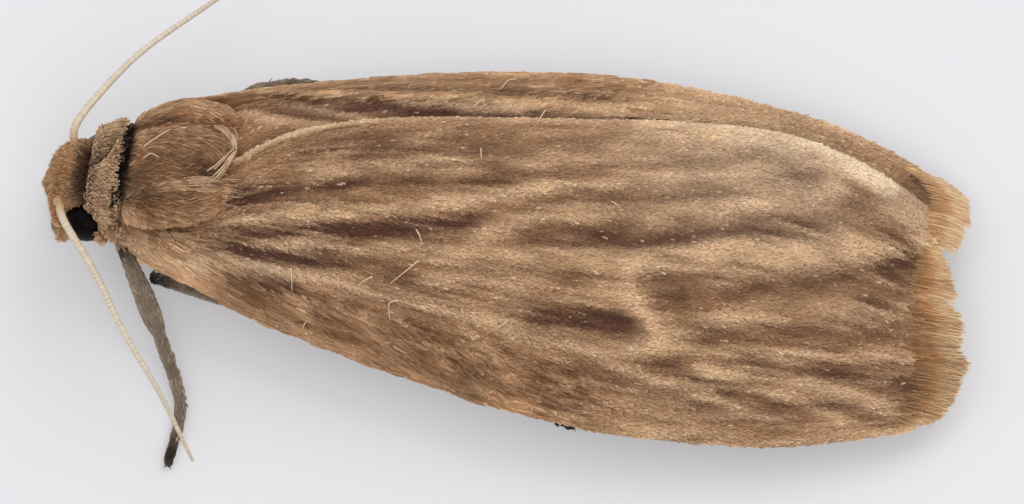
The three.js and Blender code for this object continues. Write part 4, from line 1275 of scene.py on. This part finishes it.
def horn_finish():
    """Dark brown claws and spurs, mottled with a paler brown."""
    make, finish = new_material("claw_horn")
    grain = cloud(make, 14.0, detail=4.0)
    return finish(make("ShaderNodeBsdfPrincipled", {
        "Base Color": mixed(make, grain, (0.03, 0.018, 0.012, 1), (0.12, 0.075, 0.045, 1)),
        "Roughness": 0.3, "Specular IOR Level": 0.5, "Normal": relief(make, grain, 0.3, 0.004)}))


def floor_finish():
    """A pale floor with a faint painted glow, so that the shadows on it stay soft."""
    make, finish = new_material("pale_floor")
    colour = mixed(make, cloud(make, 0.12), (0.585, 0.58, 0.60, 1), (0.625, 0.62, 0.64, 1))
    return finish(make("ShaderNodeBsdfPrincipled", {
        "Base Color": colour, "Roughness": 0.75, "Specular IOR Level": 0.2,
        "Emission Color": (1.0, 1.0, 1.02, 1), "Emission Strength": 0.23}))


# ---- The pieces ----

def base_drop(x, y):
    """At its base a wing sinks in under the hair of the thorax."""
    return 0.42 * (1 - smoothstep(x, -4.9, -3.9)) * (1 - smoothstep(np.abs(y - axis_y(x)), 0.85, 1.25))


def right_drop(x, y):
    """The right wing lies just under the left one beside its margin."""
    return base_drop(x, y) + 0.03 + 0.09 * (1 - smoothstep(y - MARGIN_Y(x), 0.0, 0.35))


HINDWING_ENDS = (-3.6, 4.4)  # x of a hindwing's base and tip
# Each hindwing: its inner and its outer edge, and how deep its pleats are.
HINDWINGS = {
    "left": ([(-3.6, -0.56), (-1, -0.4), (1, -0.42), (4.4, -0.7)],
             [(-3.6, -1.2), (-2, -1.6), (0, -2.0), (2, -2.1), (4.4, -1.6)], 0.03),
    "right": ([(-3.6, 0.98), (-1, 1.08), (1, 0.96), (4.4, 0.86)],
              [(-3.6, 1.22), (-2, 1.3), (-1, 1.5), (0, 1.54), (2, 1.4), (4.4, 1.24)], 0.05),
}
HINDWING_DROP = 0.62  # how far the hindwings lie below the folded forewings
PLEATS = 16  # radians of pleat to a millimetre


def make_sheets():
    """The upper faces of the four wings, by name."""
    sheets = {
        "forewing_left": wing_sheet(forewing_left(), 180, 66, base_drop, "left",
                                    lambda p, way: forewing_marks(p, way, "left"), "wing"),
        "forewing_right": wing_sheet(forewing_right(), 180, 32, right_drop, "right",
                                     lambda p, way: forewing_marks(p, way * [1, 0.45, 1], "right"), "wing"),
    }
    for side, (inner, outer, fold) in HINDWINGS.items():
        sheets["hindwing_" + side] = wing_sheet(
            hindwing(*HINDWING_ENDS, inner, outer), 60, 14,
            lambda x, y: HINDWING_DROP + fold * np.sin(y * PLEATS), side,
            lambda p, way: {"pale": 0.5 + 0.4 * np.sin(p[:, 1] * PLEATS), "dark": 0 * p[:, 0]}, "hindwing")
    return sheets


def make_skin(body, sheets, finish):
    """One skin for all the flesh: body, legs and palps grown together, and the four thin wings."""
    parts = [body, *(membrane(sheet) for sheet in sheets.values())]
    points, faces = joined([(part["points"], part["faces"]) for part in parts])
    skin = piece("skin", points, faces, finish, {"tint": np.concatenate([part["tint"] for part in parts])})
    flesh = [n for n in sorted(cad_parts) if not n.startswith(("eye_", "antenna_"))]
    place(skin, "wing_scales", *flesh)


def make_eyes(finish):
    """Two domes, a little flattened, set into the head."""
    rows, columns = 40, 64
    lat = np.linspace(0, math.pi, rows + 1)[1:-1, None]
    lon = np.linspace(0, 2 * math.pi, columns, endpoint=False)[None]
    rings = [np.sin(lat) * np.cos(lon), np.cos(lat) + 0 * lon, np.sin(lat) * np.sin(lon)]
    ball, faces = loft(np.stack(rings, -1))
    ball[-2:] = [(0, 1, 0), (0, -1, 0)]
    for side, centre in EYES.items():
        dome = ball * [EYE_RADIUS * 0.96, EYE_RADIUS * 0.9, EYE_RADIUS] + centre
        place(piece("eye_dome_" + side, dome, faces, finish), "eye", "eye_" + side)


FEELERS = {
    "left": [(-6.75, -0.62, 1.6), (-6.65, -0.98, 1.72), (-6.08, -1.68, 1.55), (-5.52, -2.46, 1.2),
             (-4.86, -3.26, 0.94), (-4.24, -4.16, 0.74)],
    "right": [(-6.62, 0.15, 1.55), (-6.68, 0.5, 1.78), (-6.3, 1.3, 1.55), (-5.82, 2.02, 1.35),
              (-5.02, 2.9, 1.1), (-4.2, 3.78, 0.9)],
}
FEELER_RINGS = 84
FEELER_RADIUS = profile([(0, 0.07), (0.15, 0.062), (0.5, 0.05), (0.9, 0.034), (1, 0.024)])


def make_feelers(finish):
    """Each feeler is a thick scape and a long ringed whip; every ring flares towards its far end."""
    sides = 12
    t = np.linspace(0, 1, FEELER_RINGS * 4 + 1)
    in_ring = (t * FEELER_RINGS) % 1.0
    radius = FEELER_RADIUS(t) * (0.94 + 0.1 * np.sin(in_ring * math.pi * 0.8))
    radius = radius * (1 + 0.7 * np.exp(-((t - 0.03) / 0.035) ** 2))
    by_ring = np.concatenate([[(0, 0, 0)], np.stack([t, in_ring, 0 * t], -1), [(1, 1, 0)]])
    marks = np.concatenate([by_ring.repeat(sides, axis=0), by_ring[[0, -1]]])
    for side, route in FEELERS.items():
        points, faces = sweep(spline(route, t), radius, sides=sides)
        feeler = piece("feeler_" + side, points, faces, finish, {"ring": marks})
        place(feeler, "feeler", *[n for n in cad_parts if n.startswith(f"antenna_{side}_")])


def make_claws(finish):
    """A pair of hooked claws at each foot, and spurs at the shin's middle and end."""
    thorns = []
    for routes in LEG_ROUTES.values():
        shin, foot = routes["tibia"][0], routes["tarsus"][0]
        forward, shin_way = unit(foot[-1] - foot[-5]), unit(shin[-1] - shin[-3])
        aside, shin_aside = [unit(np.cross(way, [0, 0, 1])) for way in (forward, shin_way)]
        thorns += [(foot[-1], forward * 0.9 + aside * 0.5 * s, 0.12, 0.022, -0.045) for s in (-1, 1)]
        for at, size in ((-1, 0.24), (6, 0.2)):
            thorns += [(shin[at], shin_way + shin_aside * 0.45 * s, size, 0.026, -0.02) for s in (-1, 1)]
    t = np.linspace(0, 1, 7)
    shells = []
    for root, way, length, thick, droop in thorns:
        line = root + np.outer(t * length, unit(way)) + np.outer(t * t, [0, 0, droop])
        line[:, 2] = np.maximum(line[:, 2], 0.01)
        shells.append(sweep(line, thick * (1 - 0.85 * t), sides=8))
    place(piece("claws_and_spurs", *joined(shells), finish), "leg")


def hairiness(sheet):
    """1 at a wing's base and less along its front edge, where hairs stand among the scales."""
    x, y = sheet["points"][:, :2].T
    base = (1 - smoothstep(x, -5.1, -4.3)) * smoothstep(np.abs(y), 0.4, 0.9)
    costa = smoothstep(across(x, y), 0.66, 0.95) * (1 - smoothstep(x, -1.5, 2.5))
    return np.maximum(base, 0.75 * costa)


def shown_right(sheet):
    """1 where the right forewing lies clear of the left one, and a little under its margin."""
    x, y = sheet["points"][:, :2].T
    return np.where(y > MARGIN_Y(x) - 0.12, 1.0, 0.0)


def forewing_scales(sheets, finish):
    """Flat scales on top of both forewings, more raised where pale; the left wing has two layers."""
    left, right = sheets["forewing_left"], sheets["forewing_right"]
    layers = (("left_1", left, 850, 3), ("left_2", left, 850, 7), ("right", right, 2100, 11))
    for name, bed, density, seed in layers:
        x, y = bed["points"][:, :2].T
        flat = 1 - smoothstep(np.abs(MARGIN_Y(x) - y), 0.02, 0.14)
        shape = np.stack([1 + 0.5 * hairiness(bed) - 0.35 * flat, 1 - 0.2 * hairiness(bed),
                          (1 + 0.5 * bed["marks"]["pale"]) * (1 - 0.7 * flat)], -1)
        grow("wing_scales_" + name, bed, "scale", finish, "wing_scales", density=density, seed=seed,
             length=0.085, width=0.033, lift=0.18, uneven=0.4, swirl=0.34, shape=shape,
             cover=shown_right(bed) if bed is right else None)


def wing_coats(sheets, finish):
    """All the wings' scales and hairs, but for the fringes."""
    forewing_scales(sheets, finish)
    for side in ("left", "right"):
        top, hind = sheets["forewing_" + side], sheets["hindwing_" + side]
        cover = hairiness(top) * (shown_right(top) if side == "right" else 1.0)
        hair_bed = {**top, "patch": stretched(top["patch"], cover > 0)}
        grow("wing_hair_" + side, hair_bed, "hair", finish, "wing_scales", density=1300, length=0.3,
             width=0.0135, lift=0.13, swirl=0.1, seed=13, cover=cover)
        inside = 1 - smoothstep(across(*top["points"][:, :2].T), 0.93, 0.95)
        grow("wing_underside_" + side, underside(top), "scale", finish, "wing_scales", density=210,
             length=0.16, width=0.075, lift=0.12, seed=15, cover=inside)
        for face, bed in (("top", hind), ("underside", underside(hind))):
            grow(f"hindwing_{face}_{side}", bed, "scale", finish, "hindwing", density=260, length=0.15,
                 width=0.07, lift=0.12, seed=17)


def fringe_bed(path, reach, out, rows=6, depth=0.24):
    """A narrow strip inside a wing's end edge, with the way and the length of the fringe's hairs."""
    count = len(path)
    v = np.linspace(0, 1, rows)[None]
    inset = depth * (1 - v)
    x, y = [path[:, i:i + 1] - inset * out[:, i:i + 1] for i in (0, 1)]
    z = roof_height(x, y) - WING_SCALE_DEPTH + 0.02 * (1 - v)
    u = np.linspace(0.02, 0.98, count)[:, None] + 0 * v
    way = np.repeat(np.concatenate([out, np.full((count, 1), -0.1)], 1)[:, None], rows, 1)
    cover = 0.12 + 0.88 * smoothstep(v, 0.2, 0.8) + 0 * u
    return {"points": np.stack([x, y, z], -1).reshape(-1, 3), "faces": grid_faces(count, rows),
            "lie": unit(way.reshape(-1, 3)), "reach": (reach[:, None] + inset).reshape(-1),
            "patch": np.stack([u, 0.02 + 0.96 * v + 0 * u, 0 * u], -1).reshape(-1, 3),
            "tint": np.tile(PALETTE["wing"]["fringe"], (count * rows, 1)), "cover": cover.reshape(-1)}


# Each fringe: the edge it grows on; its length, and its slant to the side, along that edge from 0 to 1.
FRINGES = {
    "left": ([(5.7, -2.31), (6.15, -2.18), (6.38, -1.85), (6.42, -1.35), (6.28, -0.85), (6.2, -0.2),
              (6.27, 0.5), (6.3, 1.2)],
             [(0, 0.04), (0.15, 0.1), (0.3, 0.4), (0.45, 0.6), (0.6, 0.66), (0.72, 0.54), (0.82, 0.36),
              (0.9, 0.12), (1, 0.04)],
             [(0, -0.35), (0.15, -0.18), (0.4, 0), (1, 0.05)]),
    "right": ([(6.25, 0.7), (6.33, 1.2), (6.3, 1.5), (6.14, 1.77), (5.8, 1.97)],
              [(0, 0.38), (0.35, 0.44), (0.6, 0.46), (0.8, 0.38), (1, 0.1)],
              [(0, 0.02), (0.6, 0.03), (1, 0.08)]),
}


def fringes(finish):
    """Long pale hair-scales round the end of each forewing, ragged at their tips."""
    t = np.linspace(0, 1, 150)
    for side, (route, reach, slant) in FRINGES.items():
        edge = np.concatenate([spline(route, t), np.zeros((len(t), 1))], -1)
        out = unit(np.stack([1 + 0 * t, profile(slant)(t)], -1))
        ragged = 1 + 0.1 * noise(edge, 0.12, 41) - 0.3 * np.maximum(noise(edge, 0.2, 42), 0) ** 2
        bed = fringe_bed(edge[:, :2], profile(reach)(t) * ragged, out)
        ones = np.ones(len(bed["reach"]))
        grow("fringe_" + side, bed, "fringe", finish, "wing_scales", density=5200, length=0.9, width=0.014,
             lift=0.08, swirl=0.14, uneven=0.22, roll=0.3, seed=21, spread=0.3, cover=bed["cover"],
             shape=np.stack([bed["reach"], ones, ones], -1))


# Single pale scales standing loose on the wings, as the points they pass through.
LOOSE_SCALES = [
    [(-3.15, -1.33), (-3.1, -1.59)], [(-2.44, -1.39), (-2.4, -1.53)],
    [(-1.92, -1.33), (-2.07, -1.43), (-2.17, -1.57)],
    [(-1.26, -1.03), (-1.41, -1.19), (-1.64, -1.39)], [(-1.36, -0.6), (-1.29, -0.7), (-1.25, -0.79)],
    [(-1.5, -1.59), (-1.62, -1.64), (-1.61, -1.76), (-1.58, -1.84)], [(-0.53, -1.59), (-0.51, -1.69)],
    [(0.17, -1.67), (0.08, -1.75), (0.01, -1.82)], [(-2.83, -1.9), (-2.9, -2.0)],
    [(-0.27, 2.36), (-0.38, 2.28), (-0.46, 2.09)], [(-0.67, 1.82), (-0.84, 1.59)],
    [(0.26, 1.74), (0.18, 1.46)],
    [(-0.59, 0.85), (-0.56, 0.68)], [(1.46, 0.34), (1.59, 0.27)],
    [(-5.57, 0.12), (-5.4, 0.25), (-5.22, 0.42)], [(-5.55, -0.08), (-5.44, -0.03), (-5.32, -0.08)],
]
# The forked tuft at the back of the thorax: two arms that meet in a point.
TUFT_ARMS = [
    [(-4.58, 0.63), (-4.37, 0.52), (-4.24, 0.36), (-4.2, 0.2)],
    [(-4.6, -0.38), (-4.4, -0.18), (-4.27, 0.04), (-4.2, 0.22)],
]
TUFT_STRANDS = 12  # in each arm
TEGULA_STRANDS = 46  # long ends of the left tegula's hair, fanned out over the wing's base


def top_height(x, y):
    """Height of whatever lies uppermost at x, y: the folded wings or the thorax."""
    half, top, bottom = FRONT
    side = np.clip((y - axis_y(x)) / half(x), -1, 1)
    thorax = (top(x) + bottom(x)) / 2 + (top(x) - bottom(x)) / 2 * np.sqrt(1 - side**2)
    return np.where(x < -4.3, thorax, roof_height(x, y))


def loose_strands():
    """Every sliver: its points, thickness, gap above the coat at each end, arch and colour."""
    random = np.random.default_rng(5)
    cream, tan = PALETTE["loose"]["cream"], PALETTE["loose"]["tan"]
    strands = [(line, 0.012, 0.03, 0.03, 0.04, cream) for line in LOOSE_SCALES]
    for arm in TUFT_ARMS:
        for _ in range(TUFT_STRANDS):
            bent = spline(arm, np.linspace(random.uniform(0, 0.35), random.uniform(0.8, 1.0), 5))
            away = random.normal(0, 0.045, 2) * [[1.2], [1], [0.9], [0.7], [0.4]]
            colour = cream if random.random() < 0.6 else tan
            strands.append((bent + away, 0.0105, 0.05, 0.05, 0.07, colour))
    for root_y, tip_y in np.linspace((-0.36, -0.26), (-0.84, -0.64), TEGULA_STRANDS):
        root = np.array([random.uniform(-4.9, -4.65), root_y])
        tip = np.array([random.uniform(-4.35, -3.98), tip_y + random.normal(0, 0.035)])
        strands.append(([root, (root + tip) / 2 + [0, 0.02], tip], 0.0065, 0.2, 0.08, 0.07, tan))
    return strands


def make_loose_scales(finish):
    """Thin curved slivers: loose scales, the two-armed tuft, and the left tegula's long ends."""
    t = np.linspace(0, 1, 9)
    slivers, tints = [], []
    for line, thick, root_gap, tip_gap, arch, colour in loose_strands():
        x, y = spline(line, t).T
        gap = root_gap + (tip_gap - root_gap) * t + arch * np.sin(t * math.pi)
        sliver = sweep(np.stack([x, y, top_height(x, y) + gap], -1), thick * (1 - 0.5 * t), sides=6)
        slivers.append(sliver)
        tints.append(np.tile(colour, (len(sliver[0]), 1)))
    loose = piece("loose_scales", *joined(slivers), finish, {"tint": np.concatenate(tints)}, smooth=False)
    place(loose, "wing_scales")


def body_coats(body, hair_finish, fur_finish, leg_finish):
    """Hair on the thorax, curls on the collar, fur on the head, and scales on palps, belly and legs."""
    points, region, angle = body["points"], body["region"], body["angle"]
    x = points[:, 0]
    eye_gap = np.min([np.linalg.norm(points - centre, axis=-1) for centre in EYES.values()], axis=0)
    back = np.isin(region, ("thorax", "collar")) & (x > -5.93) & (np.abs(angle) < 2.06)
    grow("thorax_hair", bed_of(body, back), "hair", hair_finish, "body_scales",
         density=3500, length=0.17, width=0.015, lift=0.22, swirl=0.28, seed=31)
    ragged = 0.03 * noise(points, 0.1, 43)
    lobes = (region == "collar") & (x < -5.94 + ragged) & (np.abs(angle - collar_split(x)) > 0.12)
    grow("collar_scales", bed_of(body, lobes & (eye_gap > EYE_RADIUS - 0.03)), "curl", fur_finish,
         "collar_scales", density=2900, length=0.1, width=0.019, lift=0.42, swirl=0.35, roll=0.4, seed=33)
    grow("head_fur", bed_of(body, (region == "head") & (eye_gap > EYE_RADIUS + 0.015)), "hair", fur_finish,
         "head_fur", density=9500, length=0.12, width=0.0088, lift=0.55, swirl=0.5, seed=35)
    grow("palp_scales", bed_of(body, region == "palp"), "long_scale", leg_finish, "head_fur",
         density=2600, length=0.07, width=0.024, lift=0.2, seed=36)
    grow("belly_scales", bed_of(body, region == "belly"), "long_scale", leg_finish, "belly_scales",
         density=420, length=0.16, width=0.06, lift=0.16, seed=37)
    grow("leg_scales", bed_of(body, region == "leg"), "long_scale", leg_finish, "leg",
         density=1100, length=0.09, width=0.026, lift=0.13, seed=39)


# ---- Stage, light and camera ----

def make_floor(finish):
    half = 300.0
    corners = [(-half, -half, 0), (half, -half, 0), (half, half, 0), (-half, half, 0)]
    floor = piece("floor", corners, [(0, 1, 2, 3)], finish, smooth=False)
    floor.data.transform(Matrix.Scale(MM, 4))


def area_light(name, azimuth, elevation, distance, size, power, colour):
    """A square softbox aimed at the moth; distances in millimetres."""
    data = bpy.data.lights.new(name, "AREA")
    data.shape, data.size, data.energy, data.color = "SQUARE", size * MM, power, colour
    lamp = bpy.data.objects.new(name, data)
    bpy.context.scene.collection.objects.link(lamp)
    a, e = math.radians(azimuth), math.radians(elevation)
    away = Vector((math.cos(a) * math.cos(e), math.sin(a) * math.cos(e), math.sin(e)))
    lamp.location = away * distance * MM
    lamp.rotation_euler = (-lamp.location).to_track_quat("-Z", "Y").to_euler()


def make_light():
    """Three softboxes and a pale room; the strongest stands behind the right wing."""
    area_light("key_back_right", 65, 46, 150, 120, 0.084, (1.0, 0.985, 0.96))
    area_light("fill_left", 190, 60, 140, 110, 0.022, (0.96, 0.98, 1.0))
    area_light("fill_front", 285, 50, 140, 100, 0.04, (1.0, 0.99, 0.98))
    world = bpy.data.worlds.new("soft_room")
    bpy.context.scene.world = world
    world.use_nodes = True
    ground = world.node_tree.nodes["Background"]
    ground.inputs["Color"].default_value = (0.975, 0.98, 1.0, 1)
    ground.inputs["Strength"].default_value = 0.57
    bpy.context.scene.view_settings.view_transform = "Standard"


CAMERA_AZIMUTH, CAMERA_ELEVATION = 8.0, 72.0
LENS, SENSOR = 600.0, 36.0
VIEW_WIDTH = 15.44  # millimetres across the view


def make_camera():
    """A long lens, so that the view is nearly without perspective."""
    data = bpy.data.cameras.new("camera")
    data.lens, data.sensor_width = LENS, SENSOR
    data.clip_start, data.clip_end = 0.01, 10.0
    camera = bpy.data.objects.new("camera", data)
    bpy.context.scene.collection.objects.link(camera)
    a, e = math.radians(CAMERA_AZIMUTH), math.radians(CAMERA_ELEVATION)
    away = Vector((math.sin(a) * math.cos(e), -math.cos(a) * math.cos(e), math.sin(e)))
    distance = LENS / SENSOR * VIEW_WIDTH
    camera.location = (Vector(SHIFT) + away * distance) * MM
    camera.rotation_euler = away.to_track_quat("Z", "Y").to_euler()
    bpy.context.scene.camera = camera


def main():
    sheets = make_sheets()
    body = skin_body()
    wing_finish = scale_finish("wing_scale_silk")
    fringe_finish = scale_finish("fringe_silk", spread=0.3, tip=2.5, tip_from=0.45, root=0.8, rough=0.6,
                                 sheen=0.2, cream=(1.0, 0.88, 0.68, 1))
    hair_finish = scale_finish("thorax_hair_silk", spread=0.8, tip=0.5, root=0.5, sheen=0.1)
    fur_finish = scale_finish("soft_fur", spread=0.7, tip=0.8, root=0.15, rough=0.65, sheen=0.2)
    leg_finish = scale_finish("leg_scale_grey", spread=0.5, rough=0.5, gloss=0.3, sheen=0.2, sparkle=0.03)
    make_skin(body, sheets, skin_finish())
    make_eyes(eye_finish())
    make_feelers(feeler_finish())
    make_claws(horn_finish())
    wing_coats(sheets, wing_finish)
    fringes(fringe_finish)
    body_coats(body, hair_finish, fur_finish, leg_finish)
    make_loose_scales(loose_finish())
    for template in VANES.values():
        bpy.data.objects.remove(template)
    make_floor(floor_finish())
    make_light()
    make_camera()


main()
